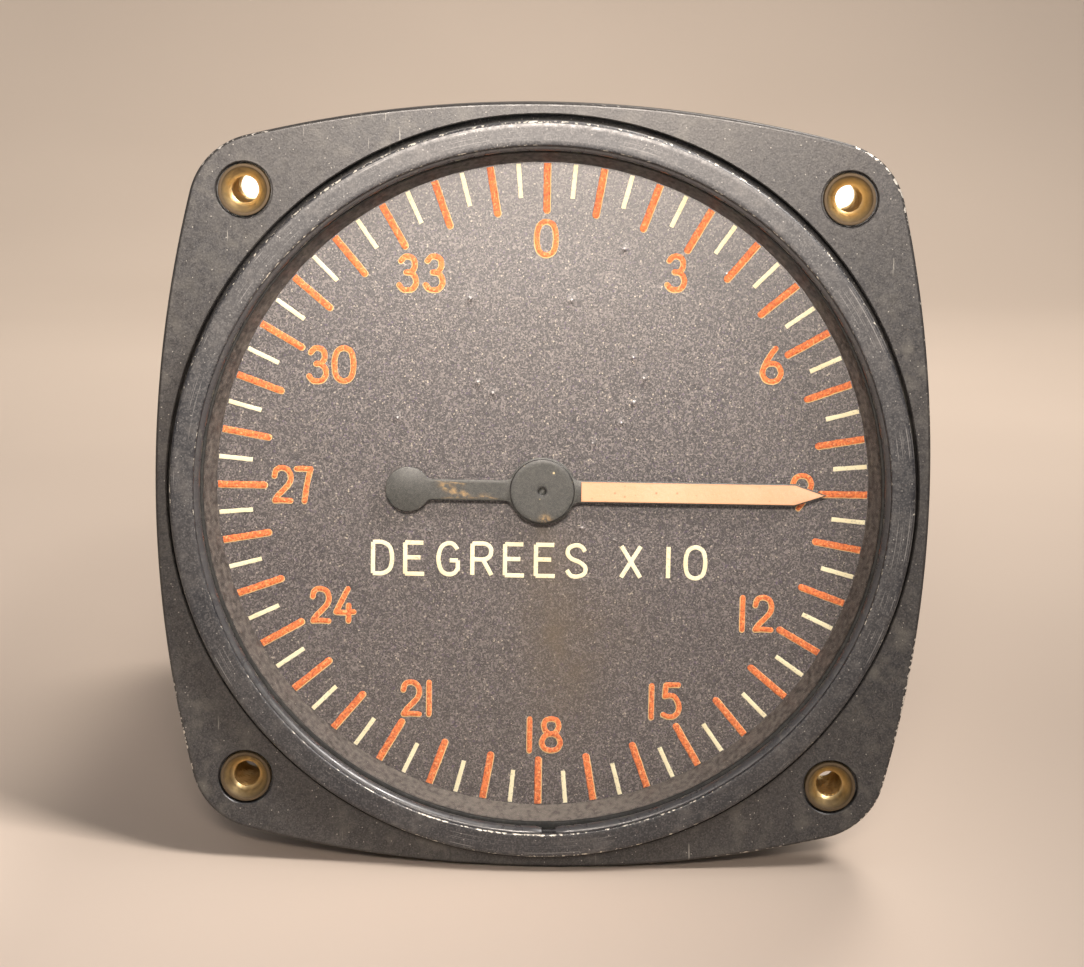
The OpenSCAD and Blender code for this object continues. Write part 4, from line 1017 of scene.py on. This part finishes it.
RAISED = [(-7, 11.3, 0.35), (-5.4, 10.2, 0.28), (9.6, 9.4, 0.4), (8.3, 7.2, 0.3), (10.6, 12, 0.25)]


def build_dial():
    bm = bmesh.new()
    draw = random.Random(7)
    outer, back, shaft_hole = half_width("dial_plate"), back_of("dial_plate"), 2.0
    profile = [(shaft_hole, dial_z, 0), (shaft_hole, back, 0.1), (outer, back, 0.1), (outer, dial_z, 0)]
    rim = turned(bm, profile, close=False, longest=50)
    blisters = [(draw.uniform(-28, 28), draw.uniform(-24, 26), draw.uniform(0.12, 0.3)) for _ in range(34)]
    blisters = [b for b in blisters + RAISED if math.hypot(b[0], b[1]) > 5]
    spots = [p for r in numpy.arange(3, outer - 1, 1.1) for p in ring_points(r, int(6 * r))]
    for x, y, size in blisters:
        spots.append((x, y))
        for share, points in ((0.4, 8), (0.75, 10), (1, 12)):
            spots += ring_points(size * share, points, (x, y))
    fill(bm, [rim[-1], rim[0]], thinned(spots, 0.05))
    for v in bm.verts:
        if abs(v.co.z - dial_z) < 1e-4:
            for x, y, size in blisters:
                near = math.hypot(v.co.x - x, v.co.y - y) / size
                if near < 1:
                    v.co.z += 0.16 * size * (1 - near ** 2) ** 2 * (1 if size > 0.2 else -0.6)
                    break
    finish_piece(bm, "dial", dial_grey, ["dial_plate"], {STAIN_AND_PAINTED_LIGHT: dial_stain})


build_dial()

# %% [markdown]
# ## Paint that stands up
# The orange marks and numbers were filled by hand with thick luminous paint, so they are low ridges with
# round ends and slightly wandering edges. `stroke` sweeps a small arch along a path. The same tool with a
# flat arch prints the cream marks. The numbers are plain strokes, as an engraver would cut them.

# %% A stroke of paint
def smooth_path(points, closed=False, parts=6):
    """A curve through the given points."""
    points = [Vector(p) for p in points]
    round_points = [points[-1], *points, *points[:2]] if closed else [points[0], *points, points[-1]]
    full = []
    for p0, p1, p2, p3 in zip(round_points, round_points[1:], round_points[2:], round_points[3:]):
        for k in range(parts):
            t = k / parts
            full.append(0.5 * (2 * p1 + (p2 - p0) * t + (2 * p0 - 5 * p1 + 4 * p2 - p3) * t * t
                               + (3 * p1 - p0 - 3 * p2 + p3) * t ** 3))
    return full if closed else full + points[-1:]


def stroke(bm, path, width, height, closed=False, round_ends=True, wander=0.06):
    """One ridge of paint on the dial: path in mm, width and height of its arch."""
    half = width / 2
    path = [Vector(p) for p in path]
    stops = []
    for i, p in enumerate(path):
        before = path[i - 1] if i or closed else p
        after = path[(i + 1) % len(path)] if i + 1 < len(path) or closed else p
        stops.append((p, (after - before).normalized(), 1.0))
    if not closed and round_ends:
        caps = (0.5, 0.8, 0.97)
        start, end = stops[0], stops[-1]
        stops = [(start[0] - start[1] * half * c, start[1], math.sqrt(1 - c * c)) for c in caps[::-1]] + stops
        stops += [(end[0] + end[1] * half * c, end[1], math.sqrt(1 - c * c)) for c in caps]
    loops = []
    for p, along, share in stops:
        aside = Vector((-along.y, along.x))
        loop = []
        for k in range(9):
            u = math.cos(math.pi * k / 8)
            ragged = 1 + wander * noise.noise(Vector((p.x * 3 + k // 5 * 9, p.y * 3, 2)))
            lift = height * share ** 0.7 * math.sin(math.pi * k / 8) ** 0.6 if 0 < k < 8 else 0.0
            lift *= 1 + 2 * wander * noise.noise(Vector((p.x * 4, p.y * 4, k)))
            spot = p + aside * u * half * share * ragged
            loop.append(bm.verts.new((spot.x, spot.y, dial_z + lift)))
        loops.append(loop)
    for one, two in zip(loops, loops[1:] + (loops[:1] if closed else [])):
        bridge(bm, one, two)
    if not closed:
        bm.faces.new(loops[0])
        bm.faces.new(loops[-1])


print(f"strokes lie on the dial at {dial_z:.2f} mm")

# %% Graduations
paint_t = front_of("major_graduations") - dial_z


def build_graduations():
    end = half_width("major_graduations") - 0.22
    long_w, short_w, long_l, short_l = 0.76, 0.47, 5.28, 3.58
    orange, under, cream = bmesh.new(), bmesh.new(), bmesh.new()
    for k in range(72):
        angle = math.radians(5 * k)
        way = Vector((math.cos(angle), math.sin(angle)))
        inner = end - (long_l - long_w / 2 if k % 2 == 0 else short_l)
        path = [way * (inner + (end - inner) * s / 12) for s in range(13)]
        if k % 2 == 0:
            stroke(orange, path, long_w * 0.94, paint_t, wander=0.16)
            shifted = [p + Vector((0.05, -0.04)) for p in path]
            stroke(under, shifted, long_w, paint_t * 0.25, wander=0.08)
        else:
            stroke(cream, path, short_w, paint_t * 0.4, round_ends=False, wander=0.18)
    for graduations in (orange, under, cream):
        trim_round(graduations, end)
    finish_piece(orange, "long_graduations", orange_paint, ["major_graduations"])
    finish_piece(under, "long_graduation_rims", under_paint)
    finish_piece(cream, "short_graduations", cream_paint, ["minor_graduations"])


def trim_round(bm, reach):
    """Keeps the outer ends of the marks inside the spacer."""
    for v in bm.verts:
        r = math.hypot(v.co.x, v.co.y)
        if r > reach:
            v.co.x *= reach / r
            v.co.y *= reach / r


build_graduations()

# %% Numbers, in strokes on a box 2 wide and 2 high
OVAL = [(0, 1), (0.72, 0.8), (1, 0.3), (1, -0.3), (0.72, -0.8), (0, -1), (-0.72, -0.8), (-1, -0.3), (-1, 0.3),
        (-0.72, 0.8)]
TWO_ARCH = [(-1, 0.52), (-0.78, 0.88), (-0.1, 1.02), (0.68, 0.86), (0.98, 0.46), (0.8, 0.08), (0.1, -0.34),
            (-0.6, -0.7), (-0.96, -1)]
THREE_TOP = [(-0.8, 0.74), (-0.35, 0.98), (0.25, 1), (0.78, 0.8), (0.86, 0.42), (0.5, 0.12), (-0.15, 0.06)]
THREE_BOWL = [(-0.15, 0.06), (0.55, 0), (0.98, -0.3), (1, -0.64), (0.62, -0.92), (0, -1), (-0.6, -0.94),
              (-1, -0.7)]
FIVE_BOWL = [(-0.82, 0.28), (-0.2, 0.34), (0.5, 0.2), (0.98, -0.3), (0.86, -0.72), (0.3, -0.98), (-0.4, -1),
             (-1, -0.88)]
SIX_STEM = [(0.35, 1), (0.0, 0.74), (-0.6, 0.2), (-0.95, -0.3), (-1, -0.5)]
SIX_BOWL = [(0, 0.1), (0.66, -0.02), (1, -0.44), (0.68, -0.87), (0, -1), (-0.68, -0.87), (-1, -0.44),
            (-0.66, -0.02)]
EIGHT_TOP = [(0, 1), (0.62, 0.88), (0.8, 0.52), (0.5, 0.16), (0, 0.06), (-0.5, 0.16), (-0.8, 0.52),
             (-0.62, 0.88)]
EIGHT_BOWL = [(0, 0.04), (0.66, -0.08), (1, -0.5), (0.7, -0.88), (0, -1), (-0.7, -0.88), (-1, -0.5),
              (-0.66, -0.08)]
NUMBERS = {
    "0": (1.95, [(OVAL, True)]),
    "1": (0.0, [([(0, 1), (0, -1)], False)]),
    "2": (1.75, [(TWO_ARCH, False), ([(-0.96, -1), (0, -0.97), (0.96, -1)], False)]),
    "3": (1.75, [(THREE_TOP, False), (THREE_BOWL, False)]),
    "4": (1.9, [([(0.32, 1), (-0.35, 0.28), (-1, -0.45)], False),
                ([(-1, -0.45), (0, -0.47), (1, -0.42)], False),
                ([(0.42, -0.02), (0.42, -0.5), (0.4, -0.98)], False)]),
    "5": (1.7, [([(-0.7, 0.98), (0, 1), (0.85, 1)], False), ([(-0.7, 0.98), (-0.82, 0.28)], False),
                (FIVE_BOWL, False)]),
    "6": (1.95, [(SIX_STEM, False), (SIX_BOWL, True)]),
    "7": (1.5, [([(-1, 0.98), (0, 1), (1, 0.98)], False), ([(1, 0.98), (0.5, 0.1), (0.12, -1)], False)]),
    "8": (2.0, [(EIGHT_TOP, True), (EIGHT_BOWL, True)]),
}
NUMBERS["9"] = (1.95, [([(-x, -y) for x, y in path], closed) for path, closed in NUMBERS["6"][1]])
number_places = [
    ("0", 0.04, 26.73), ("3", 13.7, 23.3), ("6", 24.08, 13.75), ("9", 27.66, 0.2), ("1", 21.69, -13.13),
    ("2", 23.95, -13.1), ("1", 12.15, -23.0), ("5", 14.28, -22.87), ("1", -0.96, -26.92), ("8", 1.38, -26.86),
    ("2", -13.77, -23.07), ("1", -11.87, -23.05), ("2", -23.58, -12.95), ("4", -20.99, -12.92),
    ("2", -27.68, 0.1), ("7", -25.44, 0.08), ("3", -23.99, 13.0), ("0", -21.18, 13.07), ("3", -14.52, 22.83),
    ("3", -11.73, 22.88)]


def build_numbers():
    orange, under = bmesh.new(), bmesh.new()
    number_h, pen = 4.05, 0.53
    for sign, x, y in number_places:
        width, paths = NUMBERS[sign]
        for path, closed in paths:
            drawn = [(x + px * width / 2, y + py * (number_h - pen) / 2) for px, py in path]
            line = smooth_path(drawn, closed)
            stroke(orange, line, pen, paint_t, closed, wander=0.18)
            stroke(under, [p + Vector((-0.03, -0.05)) for p in line], pen + 0.1, paint_t * 0.22, closed)
    finish_piece(orange, "scale_numbers", orange_paint)
    finish_piece(under, "scale_number_rims", under_paint)


build_numbers()

# %% [markdown]
# ## The legend
# Cream capitals stand below the hub. The object's own words stay off; a plain reminder of what the numbers
# mean fills the same width. The letters are flat strokes with square ends.

# %% Cream legend: letters in open strokes, numbers as on the scale
STEM = [(-1, 1), (-1, -1)]
LETTERS = {
    "D": [STEM, [(-1, 1), (0, 1), (0.75, 0.7), (1, 0), (0.75, -0.7), (0, -1), (-1, -1)]],
    "E": [STEM, [(-1, 1), (0.9, 1)], [(-1, 0.05), (0.6, 0.05)], [(-1, -1), (1, -1)]],
    "G": [[(0.95, 0.62), (0.5, 0.94), (0, 1), (-0.66, 0.8), (-1, 0.25), (-1, -0.25), (-0.66, -0.8), (0, -1),
           (0.6, -0.92), (1, -0.62)], [(1, -0.75), (1, -0.1)], [(1, -0.1), (0.15, -0.1)]],
    "R": [STEM, [(-1, 1), (0.3, 1), (0.85, 0.78), (0.95, 0.5), (0.8, 0.2), (0.25, 0), (-1, 0)],
          [(0.1, 0), (1, -1)]],
    "S": [[(0.9, 0.62), (0.5, 0.93), (-0.1, 1), (-0.75, 0.82), (-0.92, 0.48), (-0.5, 0.14), (0.4, -0.1),
           (0.95, -0.42), (0.85, -0.8), (0.2, -1), (-0.5, -0.96), (-0.98, -0.6)]],
    "X": [[(-1, 1), (1, -1)], [(1, 1), (-1, -1)]],
}
legend = [("D", -17.0), ("E", -13.55), ("G", -9.95), ("R", -6.35), ("E", -2.85), ("E", 0.45), ("S", 3.75),
          ("X", 9.6), ("1", 13.6), ("0", 16.5)]


def build_legend():
    bm = bmesh.new()
    cap_h, pen, width, print_t = 3.85, 0.46, 2.05, 0.05
    middle_y = -7.7
    for sign, x in legend:
        strokes = [(path, False) for path in LETTERS[sign]] if sign in LETTERS else NUMBERS[sign][1]
        for path, closed in strokes:
            drawn = [(x + px * width / 2, middle_y + py * (cap_h - pen) / 2) for px, py in path]
            line = smooth_path(drawn, closed) if len(drawn) > 2 else drawn
            stroke(bm, line, pen, print_t, closed, round_ends=False, wander=0.05)
    finish_piece(bm, "legend", cream_paint)


build_legend()

# %% [markdown]
# ## Pointer
# The pointer is cut from thin sheet: a painted arm with a tip, a narrow tail and a round counterweight, with
# a disc riveted over the middle. The arm's paint is a separate slab, a hair narrower than the metal, so its
# dark edge shows. All three ride on the rotor, so they turn together.

# %% Pointer blade, arm paint and hub
arm_w, tail_w = 2.4, 2.2
tip_x = half_width("pointer")
shoulder_x = tip_x - 3.4
counter_x, counter_r = 14.27, 2.4
hub_r = half_width("pointer_hub")
blade_top = front_of("pointer")


def fillet_points(disc_r, bar_w, soft=0.8, parts=6):
    """The hollow curve from a disc at the origin into a bar along +x, upper side."""
    middle_y = bar_w / 2 + soft
    middle = Vector((math.sqrt((disc_r + soft) ** 2 - middle_y ** 2), middle_y))
    angles = numpy.linspace(math.atan2(-middle.y, -middle.x), -math.pi / 2, parts)
    return [(middle.x + soft * math.cos(a), middle.y + soft * math.sin(a)) for a in angles]


def arc_points(radius, first, last, parts, middle_x=0.0):
    """Points on an arc about a middle on the x axis."""
    angles = numpy.linspace(first, last, parts)
    return [(radius * math.cos(a) + middle_x, radius * math.sin(a)) for a in angles]


def blade_outline():
    """Round the whole blade, anticlockwise from the tip."""
    disc = hub_r + 0.15
    arm = fillet_points(disc, arm_w)
    tail = [(-x, y) for x, y in fillet_points(disc, tail_w)]
    knob = [(x - counter_x, y) for x, y in fillet_points(counter_r, tail_w)]
    first, last = math.atan2(arm[0][1], arm[0][0]), math.atan2(tail[0][1], tail[0][0])
    start = math.atan2(knob[0][1], knob[0][0] + counter_x)
    upper = [(tip_x, 0), (shoulder_x, arm_w / 2), *arm[::-1], *arc_points(disc, first, last, 26)[1:-1]]
    upper += [*tail, *knob[::-1], *arc_points(counter_r, start, math.pi, 22, -counter_x)[1:]]
    return upper + [(x, -y) for x, y in upper[-2:0:-1]]


paint_start, paint_half, paint_tip = hub_r + 0.69, arm_w / 2 - 0.14, tip_x - 0.25


def arm_gap(x, y, z):
    """Distance to the rim of the painted stretch."""
    slope = (arm_w / 2) / (tip_x - shoulder_x)
    side = paint_half - abs(y)
    if x > shoulder_x:
        side = min(side, ((paint_tip - x) * slope - abs(y)) / math.sqrt(1 + slope ** 2))
    return max(0.0, min(side, x - paint_start))


def tail_chips(x, y, z):
    """Places on the tail where the paint has flaked."""
    chips = ((-8.8, 0.9), (-9.5, -0.2), (-8.3, -0.5), (-6.1, -0.9), (-10.3, 0.4))
    return max(math.exp(-(((x - a) / 0.45) ** 2 + ((y - b) / 0.35) ** 2)) for a, b in chips)


def build_pointer():
    bm = bmesh.new()
    tail = [(-4 - 0.3 * i, 0.24 * k) for i in range(27) for k in range(-3, 4)]
    slab(bm, blade_outline(), [hole(1.25)], blade_top, back_of("pointer"), 0.06, tail)
    marks = {EDGE_GAP: lambda x, y, z: FAR, STAIN_AND_PAINTED_LIGHT: tail_chips}
    finish_piece(bm, "pointer_blade", pointer_grey, ["pointer"], marks, body="pointer_rotor")
    bm = bmesh.new()
    outline = [(paint_start, -paint_half), (shoulder_x, -paint_half), (paint_tip, 0),
               (shoulder_x, paint_half), (paint_start, paint_half)]
    rows = [paint_start + 0.15 + 0.25 * i for i in range(90)]
    sides = [side * (paint_half - d) for d in (0.12, 0.3, 0.6) for side in (-1, 1)]
    spots = [(x, y) for x in rows if x < shoulder_x for y in sides]
    spots += [(paint_start + 0.5 * i, 0) for i in range(1, 50) if paint_start + 0.5 * i < tip_x - 1]
    slab(bm, outline, [], front_of("pointer_paint"), blade_top, 0.05, spots)
    finish_piece(bm, "pointer_arm_paint", arm_paint, ["pointer_paint"], {EDGE_GAP: arm_gap},
                 body="pointer_rotor")


build_pointer()

# %% Hub disc
def hub_stain(x, y, z):
    """The rust where the hub's lower edge meets the run on the dial."""
    return math.exp(-(((x - 0.35) / 0.6) ** 2 + ((y + 3.15) / 0.45) ** 2))


def build_hub():
    bm = bmesh.new()
    top, low, foot = front_of("pointer_hub"), blade_top, back_of("pointer_hub")
    dimple, tube_bore, tube_r = 0.45, 0.97, 1.75
    profile = [(0, low, 0), (hub_r, low, 0.02), (hub_r, top, 0.1), (dimple, top, 0.08), (0.2, low + 0.1, 0),
               (0, low + 0.1, 0)]
    turned(bm, profile, 160, close=False, longest=0.5)
    under = back_of("pointer")
    turned(bm, [(tube_bore, foot, 0), (tube_r, foot, 0.1), (tube_r, under, 0.1), (tube_bore, under, 0)], 64)
    # The edge mark darkens the hub's rim and dimple nearly to black, a painted shade.
    marks = {EDGE_GAP: nearest((hub_r, top), (dimple, top)), STAIN_AND_PAINTED_LIGHT: hub_stain}
    finish_piece(bm, "hub_disc", pointer_grey, ["pointer_hub"], marks, body="pointer_rotor")


build_hub()

# %% [markdown]
# ## The back
# Behind the barrel sit the back cover with its gasket, four slotted screws, and a receptacle: a square
# flange, a threaded shell, a black insert and five pins. The cover and the shell are rebuilt, because their
# rounded rims and thread show; the rest keep their solids, and screws, pins and insert get softened rims.

# %% Back cover
connector_screws = [(11.5 * sx, 11.5 * sy) for sx in (1, -1) for sy in (1, -1)]
turns = [math.radians(45 + 90 * k) for k in range(4)]
cover_screws = [(cover_screw_circle * math.cos(a), cover_screw_circle * math.sin(a)) for a in turns]


def cover_rub(x, y, z):
    return 0.7 + 0.4 * noise.noise(Vector((x, y, z)) / 6)


def build_cover():
    bm = bmesh.new()
    top, low, outer = front_of("back_cover"), back_of("back_cover"), half_width("back_cover")
    opening, screws = 10.01, cover_screws + connector_screws
    spots = [p for r in numpy.arange(12, outer - 1, 1.6) for p in ring_points(r, int(5 * r))]
    spots = [p for p in spots if all(math.dist(p, s) > 2.0 for s in screws)]
    holes = [hole(opening, (0, 0), 96), *(hole(screw_hole_r, p, 24) for p in screws)]
    slab(bm, ring_points(outer), holes, top, low, 0.7, spots)
    marks = {EDGE_GAP: nearest((outer, low)), RUB_AND_HIGHLIGHT: cover_rub}
    finish_piece(bm, "rear_cover", case_paint, ["back_cover"], marks)


build_cover()

# %% Receptacle shell
def rounded_square(side, r, parts=8):
    inner = side / 2 - r
    points = []
    for quarter in range(4):
        spin = Matrix.Rotation(quarter * math.pi / 2, 2)
        for a in numpy.linspace(0, math.pi / 2, parts):
            points.append(tuple(spin @ Vector((inner + r * math.cos(a), inner + r * math.sin(a)))))
    return points


def build_shell():
    bm = bmesh.new()
    seat, mouth = back_of("receptacle_gasket"), back_of("receptacle_shell")
    inner_end = front_of("receptacle_shell")
    shell_r, bore, neck_r, neck_bore = 11.11, 9.61, 9.81, 8.83
    holes = [hole(9.0, (0, 0), 96), *(hole(screw_hole_r, p, 24) for p in connector_screws)]
    slab(bm, rounded_square(2 * half_width("receptacle_shell"), 3), holes, seat, seat - 2.5, 0.35)
    low, high, step = mouth + 0.4, seat - 3.4, seat - 6.7
    pitch, depth, turns = 1.27, -0.62, 88
    wall = [(shell_r, low + (high - low) * k / turns, 0) for k in range(turns + 1)]
    cut = threaded(pitch, depth, low, high)
    profile = [(bore, mouth, 0.2), (shell_r, mouth, 0.3), *wall, (shell_r, seat - 2.2, 0),
               (neck_r, seat - 0.3, 0), (neck_r, inner_end, 0.1), (neck_bore, inner_end, 0.1),
               (neck_bore, step, 0), (bore, step, 0)]

    def outside_only(r, z, angle):
        return cut(r, z, angle) if abs(r - shell_r) < 0.01 else (r, z)

    turned(bm, profile, 96, outside_only, longest=3)
    half, reach, root = 0.9, bore - 1, bore + 0.3
    key = [(-half, reach), (half, reach), (half, root), (-half, root)]
    slab(bm, key, [], seat - 6.9, mouth + 0.5, 0.15)
    finish_piece(bm, "connector_shell", shell_grey, ["receptacle_shell"], sharp=40)


build_shell()

# %% [markdown]
# ## The solids that stay
# What the case hides keeps its CAD shape: the synchro motor with its slotted core, windings, bearings,
# brushes and leads. Each gets its real finish, and those that can be seen from behind get softened rims from
# a bevel modifier, which leaves the solid's own points alone.

# %% Finishes for the carried-over solids
solid_finish = {
    "bright_steel": bright_steel, "zinc_steel": zinc_steel, "core_steel": core_steel, "copper": copper,
    "brass": brass, "silver_rings": silver, "aluminium": aluminium, "phenolic": phenolic,
    "spring_bronze": bronze, "carbon": carbon, "wire_red": wire_red, "insert_black": insert_black,
    "rubber": gasket_rubber, "black_steel": retainer_black,
}
slots = {part["node"]: part["material_slot"] for part in frame["record"]["subparts"]}
dressed = 0
for node, solid in frame["nodes"].items():
    if solid.hide_render:
        continue
    solid.data.materials.clear()
    solid.data.materials.append(solid_finish[slots[node]])
    dressed += 1
for node in ("back_cover_screws", "receptacle_screws", "contact_pins", "receptacle_insert"):
    soft = frame["nodes"][node].modifiers.new("soft_rims", "BEVEL")
    soft.width = 0.12 * MM
    soft.segments = 2
    soft.limit_method = "ANGLE"
    soft.angle_limit = math.radians(40)
print(dressed, "solids keep their shape")

# %% [markdown]
# ## Floor and light
# The instrument stands on its flange and on the edge of its back cover, so the floor leans by a little over a
# degree. The floor runs far back and curves up into a wall, like a paper roll in a studio, so that no line
# shows. Five soft lamps do the work. The key lamp is a narrow beam from in front, whose image lies in the
# upper half of dial and flange. The near lamp stands at the right and throws the shadow to the left, the
# floor lamp fills it, and two more light the paper behind. A tiny lamp right behind each upper insert stands
# for the bright wall that one would see through its bore. The room itself glows a little.

# %% Paper sweep
def build_sweep():
    f = Finish("studio_paper", (0.62, 0.53, 0.44), 0.85)
    f.set("Base Color", f.blend(f.between(f.grain(90, 2), 0.3, 0.7), (0.60, 0.495, 0.41), (0.64, 0.53, 0.44)))
    f.relief(f.grain(2.5, 2), 0.05)
    flange_foot = Vector((flange_t, -flange_half))
    cover_foot = Vector((-back_of("back_cover"), -half_width("back_cover")))
    lean = (cover_foot - flange_foot).normalized()
    bend_r, flat_end = 300.0, 520.0
    path = [flange_foot + lean * s for s in (-900, -300, -60, 0, 60, 140, 300, flat_end)]
    turn = math.atan2(lean.y, lean.x)
    heart = path[-1] + Vector((-lean.y, lean.x)) * bend_r
    for k in range(1, 17):
        a = turn - math.pi / 2 + math.radians(80) * k / 16
        path.append(heart + Vector((math.cos(a), math.sin(a))) * bend_r)
    path.append(path[-1] + (path[-1] - path[-2]).normalized() * 900)
    bm = bmesh.new()
    rows = [[bm.verts.new((x, p.x, p.y)) for x in numpy.linspace(-1200, 1200, 13)] for p in path]
    for near, far in zip(rows, rows[1:]):
        for i in range(12):
            bm.faces.new((near[i], near[i + 1], far[i + 1], far[i]))
    mesh = bpy.data.meshes.new("paper_sweep")
    bm.to_mesh(mesh)
    bm.free()
    mesh.transform(Matrix.Scale(MM, 4))
    mesh.shade_smooth()
    mesh.materials.append(f.material)
    sweep = bpy.data.objects.new("paper_sweep", mesh)
    bpy.context.scene.collection.objects.link(sweep)
    print("the floor leans", round(math.degrees(turn), 2), "degrees")


build_sweep()

# %% Lamps
def hang_lamp(name, place, target, size, watts, color, beam=180):
    lamp = bpy.data.lights.new(name, "AREA")
    lamp.shape = "RECTANGLE"
    lamp.size, lamp.size_y = size
    lamp.energy = watts
    lamp.spread = math.radians(beam)
    lamp.color = color
    holder = bpy.data.objects.new(name, lamp)
    bpy.context.scene.collection.objects.link(holder)
    holder.visible_camera = False
    aim(holder, Vector(place), Vector(target))


WARM = (1.0, 0.94, 0.89)
hang_lamp("key_lamp", (0.0, -0.310, 0.115), (-0.003, 0, 0.033), (0.09, 0.04), 0.071, (1.0, 0.88, 0.78), 31)
hang_lamp("near_lamp", (0.140, -0.140, 0.20), (-0.040, -0.02, 0.005), (0.08, 0.08), 0.108, WARM, 50)
hang_lamp("floor_lamp", (0.10, -0.04, 0.30), (0.02, 0, -0.04), (0.10, 0.10), 0.010, WARM, 50)
hang_lamp("rear_lamp", (0.14, 0.30, 0.42), (-0.02, 0.20, -0.04), (0.15, 0.15), 1.6, (1.0, 0.93, 0.86))
hang_lamp("paper_lamp", (-0.10, 0.34, 0.45), (-0.08, 0.60, 0.0), (0.6, 0.3), 0.75, (1.0, 0.94, 0.84), 120)
bore_lamp_size, bore_lamp_watts = (0.003, 0.003), 0.00004
for side, name in ((-1, "bore_light_left"), (1, "bore_light_right")):
    spot = Vector((side * insert_x, -back_of("mounting_inserts") + 0.3, insert_x)) * MM
    hang_lamp(name, spot, spot - Vector((0, 1, 0)), bore_lamp_size, bore_lamp_watts, (1.0, 0.99, 0.97))
    bpy.data.objects[name].visible_camera = True
world = bpy.data.worlds.new("studio_air")
bpy.context.scene.world = world
world.use_nodes = True
air = world.node_tree.nodes["Background"].inputs
air["Color"].default_value = (0.95, 0.965, 1.0, 1)
air["Strength"].default_value = 0.3
bpy.context.scene.view_settings.view_transform = "Standard"

# %% The scene is dressed
print("the scene is dressed")
